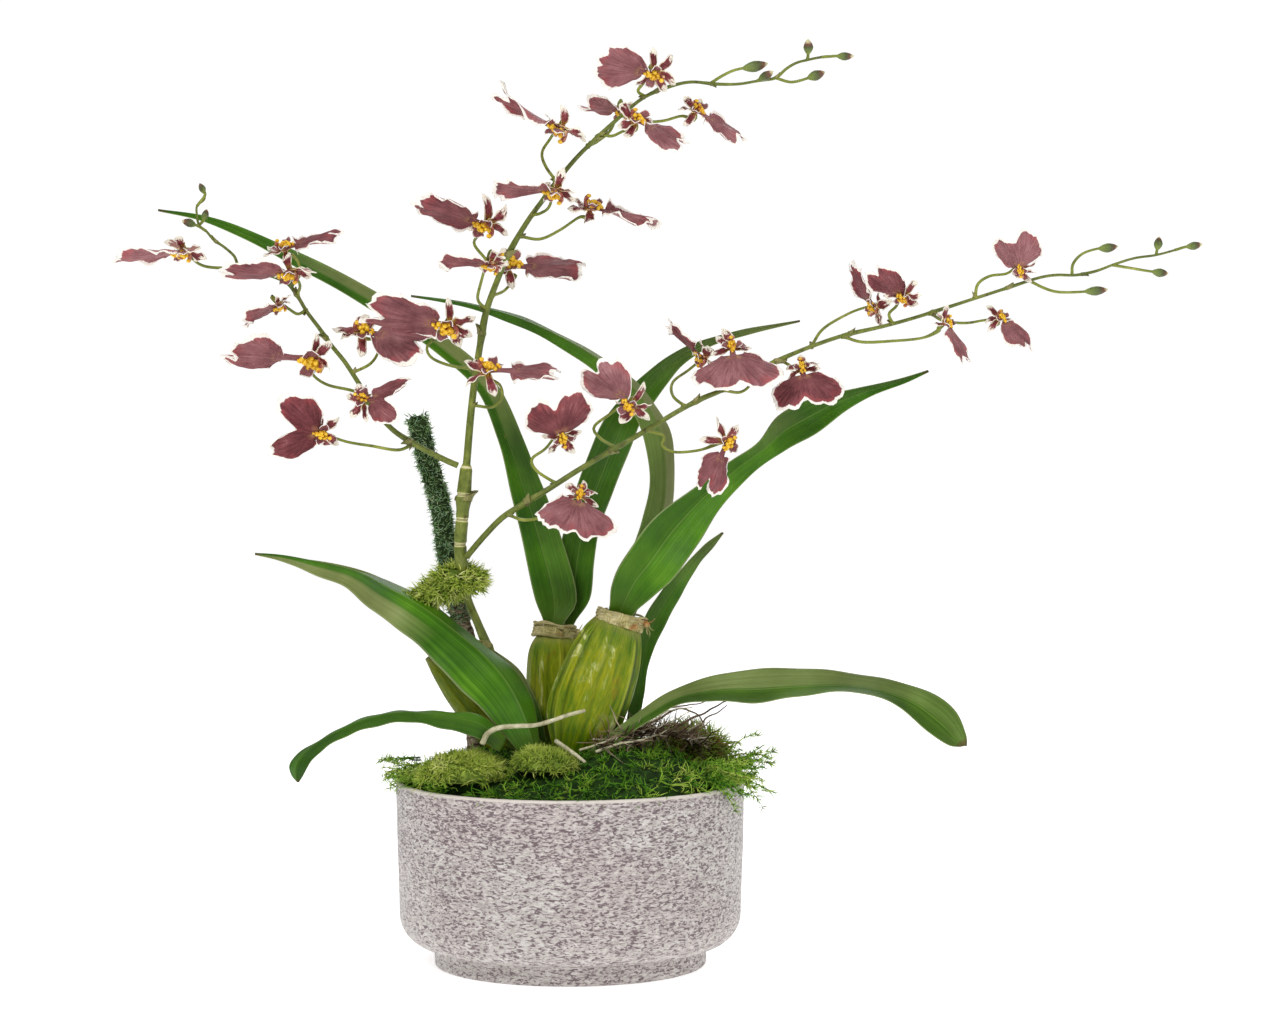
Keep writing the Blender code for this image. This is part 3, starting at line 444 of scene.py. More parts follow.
def tepal_material():
    m = Mat("tepal_skin", 0.5, 0.3)
    t, s, face, rand = m.attr("along"), m.attr("across"), m.attr("face"), m.attr("rand")
    wob = m.noise(1.0, m.vec(m.math("MULTIPLY", t, 5.0), m.math("MULTIPLY", s, 2.5), m.math("MULTIPLY", rand, 7.0)), 3, .6)
    soft = m.noise(200.0, m.coords(), 2, .5)
    body = m.ramp(m.math("ADD", m.math("MULTIPLY", wob, 0.5), m.math("MULTIPLY", soft, 0.6)),
                  [(0.28, "#3a0e13"), (0.48, "#6a2429"), (0.64, "#8c4246"), (0.80, "#ae7474")])
    body = m.mix(m.span(face, -0.5, 0.5, 0.55, 0.0), body, "#b98f84")
    base = m.mix(m.span(wob, 0.38, 0.62), "#c8a038", "#7c4a1c")
    col = m.mix(m.span(m.math("ADD", t, m.math("MULTIPLY", m.math("SUBTRACT", wob, 0.5), 0.4)), 0.10, 0.34, 0.9, 0.0), body, base)
    sa = m.math("ABSOLUTE", s)
    margin = m.math("ADD", m.math("MAXIMUM", m.math("MULTIPLY", sa, 0.98), m.math("MULTIPLY", t, 1.0)),
                    m.math("MULTIPLY", m.math("SUBTRACT", wob, 0.5), 0.75))
    col = m.mix(m.span(margin, 0.70, 0.82), col, m.mix(m.span(t, 0.0, 0.6), "#dcc070", "#f2eada"))
    m.color(col)
    m.bump(m.noise(1.0, m.vec(m.math("MULTIPLY", t, 3.0), m.math("MULTIPLY", s, 18.0), rand), 2, .5), 0.0005, 0.7)
    return m.m


def crest_material():
    m = Mat("crest_skin", 0.42, 0.5)
    n = m.noise(520.0, m.coords(), 2, .5)
    big = m.noise(170.0, m.coords(), 1, .5)
    col = m.ramp(n, [(0.25, "#c58a10"), (0.5, "#eab91c"), (0.75, "#f6d648")])
    col = m.mix(m.span(big, 0.60, 0.72), col, "#a2521c")
    m.color(col)
    m.bump(n, 0.0004, 0.6)
    return m.m


def column_material():
    m = Mat("column_skin", 0.45, 0.45)
    n = m.noise(300.0, m.coords(), 2, .5)
    m.color(m.ramp(n, [(0.3, "#7a2c30"), (0.55, "#b06a58"), (0.75, "#e6d3a0")]))
    m.bump(n, 0.0003, 0.5)
    return m.m


def stem_material():
    m = Mat("stem_skin", 0.45, 0.35)
    t, s, kind = m.attr("along"), m.attr("across"), m.attr("kind")
    long = m.noise(1.0, m.vec(m.math("MULTIPLY", t, 3.0), m.math("MULTIPLY", s, 3.0), 0.0), 3, .6)
    soft = m.noise(70.0, m.coords(), 3, .6)
    base = m.ramp(m.math("ADD", m.math("MULTIPLY", long, 0.55), m.math("MULTIPLY", soft, 0.5)),
                  [(0.28, "#39440f"), (0.50, "#5e6a22"), (0.72, "#82893a")])
    stalk = m.ramp(soft, [(0.30, "#5c681c"), (0.60, "#858e32"), (0.80, "#a9ac55")])
    bract = m.ramp(soft, [(0.30, "#5a5c2c"), (0.55, "#84814a"), (0.80, "#a89a68")])
    bud = m.ramp(m.math("ADD", t, m.math("MULTIPLY", m.math("SUBTRACT", soft, 0.5), 0.6)),
                 [(0.10, "#75843a"), (0.40, "#5c6c34"), (0.66, "#4a4c2c"), (0.86, "#6a4030"), (0.98, "#cfc79a")])
    col = m.mix(m.span(kind, 0.4, 0.6), base, stalk)
    col = m.mix(m.span(kind, 1.4, 1.6), col, bud)
    col = m.mix(m.span(kind, 2.4, 2.6), col, bract)
    col = m.mix(m.span(kind, 3.4, 3.9), col, "#c8c48c")
    spot = m.noise(240.0, m.coords(), 2, .6)
    col = m.mix(m.span(spot, 0.60, 0.70, 0, 0.6), col, "#3c2c14")
    m.color(col)
    m.bump(m.math("ADD", m.noise(1.0, m.vec(m.math("MULTIPLY", t, 2.0), m.math("MULTIPLY", s, 9.0), 0.0), 2, .5), spot),
           0.0006, 0.6)
    return m.m


def leaf_material():
    m = Mat("leaf_skin", 0.38, 0.20)
    t, s, tone, rand, shade = m.attr("along"), m.attr("across"), m.attr("tone"), m.attr("rand"), m.attr("shade")
    vein = m.noise(1.0, m.vec(m.math("MULTIPLY", s, 26.0), m.math("MULTIPLY", t, 1.6), m.math("MULTIPLY", rand, 9.0)), 3, .6)
    fine = m.noise(1.0, m.vec(m.math("MULTIPLY", s, 90.0), m.math("MULTIPLY", t, 2.0), rand), 2, .5)
    soft = m.noise(20.0, m.coords(), 3, .55)
    mixv = m.math("ADD", m.math("MULTIPLY", vein, 0.45), m.math("MULTIPLY", soft, 0.60))
    top = m.ramp(mixv, [(0.30, "#1d3f04"), (0.46, "#305c06"), (0.60, "#46780a"), (0.80, "#6c9a20")])
    dull = m.ramp(mixv, [(0.30, "#213604"), (0.50, "#3a5608"), (0.80, "#5f7a18")])
    top = m.mix(m.span(rand, 0.45, 0.65), top, dull)
    under = m.ramp(mixv, [(0.28, "#58622e"), (0.52, "#7a844a"), (0.80, "#a0a876")])
    # tone blends the green top into the grey-green underside colour; set part way, this grey is painted sheen
    col = m.mix(tone, top, under)
    # painted shade: each half is darkened towards near-black green by its shade value
    col = m.mix(m.math("MULTIPLY", shade, 0.75), col, "#101f08")
    col = m.mix(m.span(t, 0.0, 0.10, 0.40, 0.0), col, "#5f7a20")
    mid = m.math("ABSOLUTE", s)
    col = m.mix(m.span(mid, 0.0, 0.045, 0.40, 0.0), col, "#7d9448")
    col = m.mix(m.span(mid, 0.93, 1.0, 0.0, 0.55), col, "#a3ac78")
    fleck = m.noise(160.0, m.coords(), 3, .6)
    col = m.mix(m.span(fleck, 0.66, 0.76, 0, 0.35), col, "#6a6a30")
    col = m.mix(m.span(m.math("ADD", t, m.math("MULTIPLY", m.math("SUBTRACT", soft, 0.5), 0.03)), 0.975, 0.995, 0, 0.8),
                col, "#5a4a2a")
    m.color(col)
    m.rough(m.span(m.math("ADD", vein, m.math("MULTIPLY", tone, 0.3)), 0.2, 1.0, 0.26, 0.52))
    m.bump(m.math("ADD", m.math("MULTIPLY", vein, 1.0), m.math("MULTIPLY", fine, 0.4)), 0.0008, 0.6)
    return m.m


def bulb_material():
    m = Mat("bulb_skin", 0.36, 0.22)
    t, rib, rand = m.attr("along"), m.attr("tone"), m.attr("rand")
    s = m.attr("across")
    soft = m.noise(36.0, m.coords((1, 1, 0.45)), 4, .6)
    wisp = m.noise(1.0, m.vec(m.math("MULTIPLY", s, 34.0), m.math("MULTIPLY", t, 6.0), rand), 4, .65)
    base = m.ramp(m.math("ADD", m.math("MULTIPLY", soft, 0.6), m.math("MULTIPLY", wisp, 0.45)),
                  [(0.32, "#2c4e02"), (0.44, "#4f6e02"), (0.54, "#738402"), (0.64, "#909404"), (0.80, "#b0aa14")])
    # painted highlight on the rib ridges, lighter yellow-green; painted shade in the furrows beside them, dark green
    col = m.mix(m.span(rib, 0.45, 0.95, 0, 0.60), base, "#b4ba3c")
    col = m.mix(m.span(rib, -0.10, -0.60, 0, 0.80), col, "#284802")
    spot = m.noise(80.0, m.coords((1, 1, 0.5)), 4, .65)
    col = m.mix(m.span(spot, 0.60, 0.70, 0, 0.40), col, "#8a640c")
    pale = m.noise(75.0, m.coords((1, 1, 0.4)), 4, .7, .5)
    col = m.mix(m.math("MULTIPLY", m.span(pale, 0.55, 0.67), m.span(rib, -0.1, 0.4, 0.15, 0.85)), col, "#ccd08c")
    col = m.mix(m.span(t, 0.0, 0.12, 0.8, 0.0), col, "#2c3a0c")
    col = m.mix(m.span(t, 0.90, 1.0, 0.0, 0.5), col, "#a09a60")
    m.color(col)
    m.bump(m.math("ADD", wisp, m.math("MULTIPLY", spot, 0.5)), 0.0022, 0.9)
    return m.m


def sheath_material():
    m = Mat("sheath_skin", 0.8, 0.25)
    t, s = m.attr("along"), m.attr("across")
    fibre = m.noise(1.0, m.vec(m.math("MULTIPLY", s, 60.0), m.math("MULTIPLY", t, 3.0), 0.0), 3, .6)
    soft = m.noise(120.0, m.coords(), 3, .6)
    col = m.ramp(m.math("ADD", m.math("MULTIPLY", fibre, 0.6), m.math("MULTIPLY", soft, 0.4)),
                 [(0.30, "#565a26"), (0.43, "#948a50"), (0.55, "#c8bc88"), (0.76, "#f2ead0")])
    rust = m.noise(90.0, m.coords(), 2, .5)
    col = m.mix(m.span(rust, 0.58, 0.70, 0, 0.7), col, "#a8622c")
    m.color(col)
    m.bump(fibre, 0.0008, 0.8)
    return m.m


def glaze_material():
    m = Mat("speckled_glaze", 0.45, 0.35, Coat_Weight=0.15, Coat_Roughness=0.3)
    tc = m.coords()
    sep = m.node("ShaderNodeSeparateXYZ")
    m.t.links.new(tc, sep.inputs[0])
    z = sep.outputs["Z"]
    wide = m.coords((1, 1, 2.6))
    warp = m.noise(120.0, wide, 3, .6, .4)
    n1 = m.noise(265.0, wide, 2, .48, .9)
    n2 = m.noise(420.0, wide, 2, .55, .8)
    dash = m.math("ADD", m.math("MULTIPLY", n1, 0.74), m.math("MULTIPLY", n2, 0.30))
    zone = m.noise(10.0, m.coords((1, 1, 1.6)), 3, .55)
    cloud = m.noise(34.0, m.coords((1, 1, 2.0)), 3, .6)
    high = m.span(z, 0.03, 0.125)
    k = m.math("ADD", dash, m.math("ADD", m.math("MULTIPLY", zone, 0.07), m.math("MULTIPLY", high, 0.020)))
    k = m.math("ADD", k, m.math("MULTIPLY", cloud, 0.06))
    ground = m.ramp(warp, [(0.28, "#9d9692"), (0.50, "#b6b0ab"), (0.74, "#cdc9c5")])
    ground = m.mix(m.math("MULTIPLY", m.span(zone, 0.42, 0.62), m.span(z, 0.0, 0.10, 0.1, 0.40)), ground, "#a99896")
    low = m.span(m.math("SUBTRACT", dash, m.math("MULTIPLY", zone, 0.05)), 0.36, 0.42, 0.75, 0.0)
    col = m.mix(m.math("MULTIPLY", low, 0.6), ground, "#dedad6")
    col = m.mix(m.span(k, 0.580, 0.625, 0, 0.50), col, "#85767a")
    col = m.mix(m.span(k, 0.625, 0.670, 0, 0.85), col, "#5a484e")
    rim = m.span(z, 0.1276, 0.1290)
    col = m.mix(rim, col, "#ddd4cb")
    col = m.mix(m.span(z, 0.0, 0.0014, 0.7, 0.0), col, "#7c746e")
    m.color(col)
    m.rough(m.span(dash, 0.35, 0.75, 0.36, 0.62))
    m.bump(dash, 0.0012, 0.6)
    return m.m


def clay_material():
    m = Mat("raw_clay", 0.8, 0.3)
    n = m.noise(220.0, m.coords(), 4, .6)
    m.color(m.ramp(n, [(0.3, "#8f7f70"), (0.7, "#b3a593")]))
    m.bump(n, 0.0004, 0.5)
    return m.m


def moss_material(name, stops, tips, root="#101c08"):
    m = Mat(name, 0.75, 0.2)
    t, rand = m.attr("along"), m.attr("rand")
    soft = m.noise(60.0, m.coords(), 3, .6)
    col = m.ramp(m.math("ADD", m.math("MULTIPLY", rand, 0.72), m.math("MULTIPLY", soft, 0.3)), stops)
    col = m.mix(m.span(t, 0.45, 1.0, 0, 0.40), col, tips)
    col = m.mix(m.span(t, 0.0, 0.45, 0.80, 0.0), col, root)
    m.color(col)
    m.bump(m.noise(900.0, m.coords(), 2, .5), 0.0003, 0.5)
    return m.m


def ground_material(name, stops, dist=0.003):
    m = Mat(name, 0.9, 0.2)
    n = m.noise(170.0, m.coords(), 5, .65)
    v = m.voronoi(150.0)
    m.color(m.ramp(m.math("ADD", m.math("MULTIPLY", n, 0.7), m.math("MULTIPLY", v, 0.35)), stops))
    m.bump(m.math("ADD", n, v), dist, 0.9)
    return m.m


def bark_material():
    m = Mat("pole_skin", 0.9, 0.2)
    t, s = m.attr("along"), m.attr("across")
    tw = m.noise(1.0, m.vec(m.math("ADD", m.math("MULTIPLY", s, 3.0), m.math("MULTIPLY", t, 20.0)),
                            m.math("MULTIPLY", t, 90.0), 0.0), 3, .6, .9)
    n = m.noise(260.0, m.coords(), 3, .6)
    mossy = m.ramp(m.math("ADD", m.math("MULTIPLY", tw, 0.5), m.math("MULTIPLY", n, 0.5)),
                   [(0.30, "#141c0c"), (0.50, "#28381a"), (0.78, "#4c5c34")])
    bare = m.ramp(m.math("ADD", m.math("MULTIPLY", tw, 0.75), m.math("MULTIPLY", n, 0.25)),
                  [(0.32, "#1f1812"), (0.44, "#5c4c3c"), (0.54, "#9a8a74"), (0.66, "#cfc0a6"), (0.8, "#e2d8c4")])
    k = m.math("ADD", t, m.math("MULTIPLY", m.math("SUBTRACT", n, 0.5), 0.1))
    m.color(m.mix(m.span(k, 0.45, 0.50), bare, mossy))
    m.bump(m.math("ADD", tw, m.math("MULTIPLY", n, 0.5)), 0.0028, 1.0)
    return m.m


def root_material():
    m = Mat("root_skin", 0.7, 0.3)
    t, kind = m.attr("along"), m.attr("kind")
    n = m.noise(210.0, m.coords(), 4, .6)
    pale = m.ramp(n, [(0.30, "#8f8a66"), (0.55, "#c2bd9c"), (0.75, "#e4e0c8")])
    twig = m.ramp(n, [(0.30, "#2f2418"), (0.55, "#5f4a34"), (0.78, "#8f7a5c")])
    m.color(m.mix(m.span(kind, 0.4, 0.6), pale, twig))
    m.bump(n, 0.0006, 0.8)
    return m.m


LIP, TEPAL, CREST, COLUMN = lip_material(), tepal_material(), crest_material(), column_material()
STEM, LEAF, BULB, SHEATH = stem_material(), leaf_material(), bulb_material(), sheath_material()
GLAZE, CLAY, BARK, ROOT = glaze_material(), clay_material(), bark_material(), root_material()
MOSS = moss_material("moss_strands", [(0.12, "#1e4808"), (0.32, "#3a7210"), (0.48, "#5c961a"), (0.66, "#8cb234"), (0.88, "#cad66a")], "#96bc44", "#16260a")
PALE = moss_material("pale_moss_strands", [(0.12, "#5c7a18"), (0.34, "#88a430"), (0.54, "#acc046"), (0.72, "#cdd66c"), (0.92, "#eaecaa")], "#d6de78", "#4c641c")
BROWN = moss_material("dried_moss_strands", [(0.10, "#4a2e16"), (0.24, "#7c5830"), (0.36, "#74702e"), (0.46, "#5c861e"), (0.68, "#90ae3c"), (0.9, "#cccc80")], "#a8ba54", "#1e220c")
LICHEN = moss_material("lichen_strands", [(0.12, "#2e4820"), (0.34, "#4e7438"), (0.52, "#6f9458"), (0.66, "#82a888"), (0.80, "#aabc88"), (0.94, "#e0dcc0")], "#b4c898", "#20301a")
FIBRE = moss_material("peat_fibres", [(0.12, "#2c1c12"), (0.36, "#4e3826"), (0.56, "#7c664e"), (0.76, "#b0a08a"), (0.94, "#e4ded0")], "#a8967c", "#1c120a")
MOSSBED = ground_material("moss_bed", [(0.28, "#0a1604"), (0.50, "#1a330a"), (0.74, "#355c16")])
PALEBED = ground_material("pale_moss_bed", [(0.28, "#304210"), (0.50, "#5a7024"), (0.74, "#94a844")])
BROWNBED = ground_material("dried_moss_bed", [(0.28, "#18160a"), (0.50, "#333a12"), (0.74, "#56661e")])
CHIPS = ground_material("bark_chips", [(0.28, "#1c120a"), (0.50, "#3c281a"), (0.74, "#6a4a30")], 0.004)


def place(ob, node):
    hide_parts(node)
    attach(ob, "root")
    return ob


# -------------------------------------------------------------------- pot --
POT_RIM_R, POT_RIM_Z, POT_WAIST_R, POT_CORNER_R = 0.1225, 0.1300, 0.1200, 0.0230
POT_FOOT_R, POT_FOOT_Z, POT_WALL, POT_FLOOR_Z = 0.0955, 0.0130, 0.0050, 0.0120
MIX_TOP_Z = 0.1100


def arc(cx, cz, r, a0, a1, n):
    a = np.radians(np.linspace(a0, a1, n + 1))
    return np.stack([cx + r * np.cos(a), cz + r * np.sin(a)], 1)


def pot():
    cz = POT_FOOT_Z + 0.001 + POT_CORNER_R
    corner = arc(POT_WAIST_R - POT_CORNER_R, cz, POT_CORNER_R, -82, 0, 18)
    wall = np.stack([np.linspace(POT_WAIST_R, POT_RIM_R, 26)[1:], np.linspace(cz, POT_RIM_Z - 0.0016, 26)[1:]], 1)
    rim = arc(POT_RIM_R - 0.0024, POT_RIM_Z - 0.0024, 0.0024, 15, 90, 6)
    rim_in = arc(POT_RIM_R - POT_WALL + 0.0018, POT_RIM_Z - 0.0018, 0.0018, 90, 180, 5)
    prof = np.vstack([[[0.0001, 0.0], [0.05, 0.0]], arc(POT_FOOT_R - 0.0022, 0.0022, 0.0022, -90, 0, 6),
                      [[POT_FOOT_R, 0.006], [POT_FOOT_R, POT_FOOT_Z - 0.0015], [POT_FOOT_R + 0.0006, POT_FOOT_Z]],
                      corner, wall, rim, rim_in,
                      [[POT_RIM_R - POT_WALL, 0.118], [POT_WAIST_R - POT_WALL, POT_FOOT_Z + 0.030],
                       [POT_WAIST_R - POT_CORNER_R, POT_FOOT_Z + 0.008], [POT_FOOT_R - 0.010, POT_FLOOR_Z],
                       [0.0001, POT_FLOOR_Z]]])
    n = 192
    a = np.linspace(0, 2 * PI, n, endpoint=False)
    # hand-thrown: very slight waviness of the wall
    P = np.zeros((len(prof), n, 3))
    for i, (r, z) in enumerate(prof):
        wv = 1 + 0.0010 * np.sin(2 * a + 9 * z * 10) + 0.0006 * np.sin(5 * a - 60 * z)
        P[i] = np.stack([r * wv * np.cos(a), r * wv * np.sin(a), np.full(n, z)], 1)
    g = Geo()
    k = len(prof)
    inner = k - 4
    f = grid_faces(k, n, wrap_n=True)
    ring = f[:, 0] // n
    g.add(P.reshape(-1, 3), [f[ring < inner]], 0)
    g.f.append(f[ring >= inner])
    g.m.append(np.full((ring >= inner).sum(), 1))
    j = np.arange(n)
    g.f.append(np.stack([(j + 1) % n, j], 1)[:, [0, 1]] if False else np.array([j[::-1]]))
    g.m.append(np.array([1]))
    g.f.append(np.array([(k - 1) * n + j]))
    g.m.append(np.array([1]))
    return place(g.object("pot_glazed", [GLAZE, CLAY], angle=50), "pot")


pot()

# ----------------------------------------------------------------- leaves --
# Both margins of each leaf (u, v, depth mm), the fold of the blade, and
# which face each half shows to the front: 0 the green upper face, 1 the
# grey-green underside, where the grey and above all the part values also
# paint a grey sheen; and how much painted shade darkens each half.
LEAVES = {
    "leaf_left_arching": dict(fold=0.20, tones=[(0, 0, .1), (.30, 0, .1), (.42, 0, .9), (.70, 0, .8), (.82, 0, 0), (1, 0, 0)], shade=(.05, .15), rand=.3, rows=[
        (545, 621, 29, 563, 622, 31), (538, 600, 28, 574, 600, 34), (528, 560, 28, 566, 556, 38),
        (512, 497, 32, 548, 500, 44), (498, 440, 38, 522, 436, 52), (478, 392, 44, 496, 382, 56),
        (436, 352, 50, 450, 340, 60), (395, 325, 54, 404, 309, 64), (352, 298, 58, 354, 279, 66),
        (305, 272, 62, 307, 256, 68), (252, 243, 64, 256, 233, 69), (205, 222, 67, 207, 216, 69),
        (158, 211, 68, 158, 209, 69)]),
    "leaf_back_arching": dict(fold=0.18, tones=[(0, 0, 0), (.6, 0, 0), (.8, .5, .5), (1, 1, 1)], shade=(.3, .05), rand=.5, rows=[
        (555, 620, 42, 575, 620, 42), (556, 597, 45, 589, 597, 43), (559, 560, 50, 594, 560, 46),
        (565, 525, 56, 600, 527, 50), (576, 489, 62, 613, 492, 56), (590, 450, 68, 629, 452, 62),
        (604, 420, 74, 641, 422, 68), (625, 393, 80, 656, 399, 74), (645, 374, 86, 668, 383, 80),
        (668, 356, 90, 685, 363, 86), (700, 341, 94, 712, 346, 91), (745, 329, 97, 751, 334, 96),
        (800, 320, 99, 800, 322, 99)]),
    "leaf_right_recurved": dict(fold=-0.22, tones=[(0, 0, .1), (.10, .1, .6), (.25, .5, 1), (.42, .5, 1), (.52, .1, .9), (.66, 0, .5), (.8, 0, 0), (1, 0, 0)], shade=(.1, .1), rand=.25, rows=[
        (620, 607, -7, 638, 608, -4), (624, 588, -4, 648, 590, 6), (630, 556, 0, 660, 560, 12),
        (642, 520, 4, 669, 522, 16), (649, 490, 8, 674, 492, 18), (648, 460, 10, 674, 460, 20),
        (641, 430, 12, 670, 430, 22), (626, 403, 16, 655, 405, 26), (603, 379, 20, 632, 378, 30),
        (573, 356, 24, 598, 355, 33), (541, 337, 28, 554, 331, 35), (505, 321, 31, 514, 314, 36),
        (460, 306, 34, 463, 302, 36), (411, 297, 36, 411, 295, 36)]),
    "leaf_right_long": dict(fold=0.20, tones=[(0, 0, 0), (.5, 0, 0), (.62, .4, 0), (.7, 0, 0), (1, .2, 0)], shade=(.35, 0), rand=.35, rows=[
        (612, 607, -20, 634, 610, -19), (615, 586, -25, 652, 594, -20), (625, 560, -28, 674, 576, -20),
        (652, 520, -26, 698, 545, -16), (690, 491, -22, 718, 512, -12), (728, 463, -16, 750, 476, -8),
        (758, 442, -12, 786, 450, -2), (779, 415, -4, 816, 434, 2), (813, 398, 4, 846, 411, 6),
        (857, 388, 8, 874, 395, 8), (898, 379, 10, 906, 383, 10), (928, 370, 12, 929, 372, 12)]),
    "leaf_right_short": dict(fold=0.15, tones=[(0, 0, 0), (.7, .1, 0), (1, .6, .6)], shade=(.2, 0), rand=.5, rows=[
        (622, 748, 14, 634, 748, 14), (630, 700, 14, 643, 702, 16), (636, 662, 16, 650, 660, 18),
        (643, 622, 18, 668, 620, 22), (660, 593, 22, 682, 594, 26), (684, 566, 26, 698, 566, 30),
        (704, 545, 30, 713, 548, 32), (722, 532, 34, 724, 533, 34)]),
    "leaf_right_low": dict(fold=0.16, tones=[(0, .2, .1), (.2, .7, .1), (.7, .6, .15), (.9, .3, .1), (1, .3, .3)], shade=(0, .15), rand=.52, rows=[
        (588, 752, -46, 600, 760, -48), (614, 730, -42, 622, 740, -46), (644, 708, -42, 652, 719, -50),
        (672, 690, -44, 682, 704, -56), (705, 678, -46, 715, 701, -64), (745, 670, -50, 755, 703, -72),
        (795, 668, -54, 795, 697, -78), (845, 672, -60, 835, 692, -80), (890, 680, -66, 872, 695, -84),
        (928, 691, -72, 903, 710, -88), (955, 710, -78, 928, 732, -92), (966, 734, -82, 948, 745, -92),
        (967, 746, -84, 960, 747, -86)]),
    "leaf_left_large": dict(fold=0.26, tones=[(0, 0, 0), (.42, 0, 0), (.55, .1, .9), (.9, .3, .9), (1, .4, .8)], band=.42, shade=(.1, 0), rand=.2, rows=[
        (540, 748, -44, 522, 756, -54), (534, 705, -34, 500, 730, -56), (518, 674, -22, 478, 706, -56),
        (493, 652, -10, 452, 681, -52), (465, 630, -8, 424, 651, -44), (436, 606, -8, 395, 627, -38),
        (401, 586, -7, 370, 609, -32), (362, 573, -2, 344, 587, -26), (320, 563, -6, 307, 572, -22),
        (285, 557, -10, 281, 561, -18), (255, 553, -14, 255, 555, -15)]),
    "leaf_left_back": dict(fold=-0.16, tones=[(0, 0, 0), (.12, 0, 0), (.22, .9, .9), (1, 1, 1)], shade=(.25, .25), rand=.45, rows=[
        (548, 752, 2, 534, 762, -3), (541, 714, 8, 524, 731, 2), (531, 689, 11, 508, 705, 7),
        (519, 669, 16, 496, 684, 13), (497, 652, 23, 476, 669, 21), (470, 635, 28, 450, 652, 27),
        (445, 619, 30, 426, 636, 29), (420, 602, 30, 402, 619, 29), (395, 585, 29, 378, 601, 28),
        (364, 571, 27, 350, 584, 26), (326, 562, 25, 318, 570, 24), (286, 557, 23, 285, 559, 23)]),
    "leaf_left_low": dict(fold=0.16, tones=[(0, 0, 0), (1, 0, 0)], shade=(0, .5), rand=.4, rows=[
        (506, 738, -62, 500, 752, -66), (482, 716, -60, 474, 737, -72), (450, 712, -64, 440, 728, -80),
        (420, 711, -68, 410, 722, -84), (389, 712, -72, 383, 725, -88), (355, 721, -76, 354, 733, -90),
        (325, 737, -80, 330, 745, -92), (303, 750, -82, 315, 757, -92), (290, 763, -84, 308, 767, -92),
        (291, 774, -86, 303, 776, -90), (297, 782, -88, 299, 782, -88)]),
}


TUCK = {"leaf_left_arching": (.0095, .16), "leaf_back_arching": (.0095, .12), "leaf_right_recurved": (.0090, .05),
        "leaf_right_long": (.0095, .24)}


def leaf(name, spec, n=90, half=7):
    rows = np.asarray(spec["rows"], float)
    p1, p2 = mm(rows[:, :3]), mm(rows[:, 3:])
    if name in TUCK:
        low = unit((p1[0] + p2[0]) - (p1[1] + p2[1])) * TUCK[name][0]
        p1, p2 = np.vstack([p1[0] + low + (p2[0] - p1[0]) * .06, p1]), np.vstack([p2[0] + low + (p1[0] - p2[0]) * .06, p2])
    e1 = resample(spline(p1, 200), 200)
    e2 = resample(spline(p2, 200), 200)
    s = np.linspace(0, 1, n + 1) ** 1.0
    i = s * 200
    lo = np.minimum(i.astype(int), 199)
    f = (i - lo)[:, None]
    a, b = e1[lo] * (1 - f) + e1[lo + 1] * f, e2[lo] * (1 - f) + e2[lo + 1] * f
    w = (b - a) * (1 + (TUCK[name][1] if name in TUCK else 0) * (1 - smooth(.03, .22, s)))[:, None]
    wl = np.linalg.norm(w, axis=1)
    T = unit(np.gradient(a + b, axis=0))
    side = unit(w)
    nrm = unit(np.cross(T, side))
    x = np.linspace(-1, 1, 2 * half + 1)
    x = np.sign(x) * np.abs(x) ** 0.9
    ph = spec["rand"] * 20
    P = np.zeros((n + 1, len(x), 3))
    for j, q in enumerate(x):
        lift = spec["fold"] * wl * (1 - abs(q) ** 1.15)
        wave = 0.00045 * abs(q) ** 3 * np.sin(s * 46 + ph + 2 * np.sign(q)) * smooth(0, .2, s) * (1 - smooth(.85, 1, s))
        P[:, j] = (a + b) / 2 + w * (q / 2) + nrm * (lift + wave)[:, None]
    thick = (0.0005 + 0.0009 * np.exp(-(x / 0.09) ** 2) + 0.0003 * (1 - x ** 2))[None] * np.ones((n + 1, 1))
    tab = np.asarray(spec["tones"], float)
    tl, tr = np.interp(s, tab[:, 0], tab[:, 1])[:, None], np.interp(s, tab[:, 0], tab[:, 2])[:, None]
    band = smooth(spec.get("band", 0.0) - .06, spec.get("band", 0.0) + .06, np.abs(x))[None]
    tone = np.where(x[None] < 0, tl, tr) * band
    blend = smooth(-.12, .12, x)[None]
    # how much painted shade darkens each half, blended across the midline
    dark = spec["shade"][0] * (1 - blend) + spec["shade"][1] * blend + np.zeros((n + 1, 1))
    g = Geo("along", "across", "tone", "rand", "face", "shade")
    # which side of the grid looks to the front
    mid = P[n // 2, half]
    N = grid_normals(P)[n // 2, half]
    front = 1.0 if np.dot(N, STATION - mid) > 0 else -1.0
    sheet(g, P, thick, 0, front, along=np.repeat(s[:, None], len(x), 1), across=np.repeat(x[None], n + 1, 0),
          tone=tone, rand=spec["rand"], shade=dark)
    face = np.concatenate(g.a["face"])
    t = np.concatenate(g.a["tone"])
    g.a["tone"] = [np.where(face > 0, t, 1 - t)]
    return place(g.object(name + "_blade", [LEAF]), name)


for name, spec in LEAVES.items():
    leaf(name, spec)

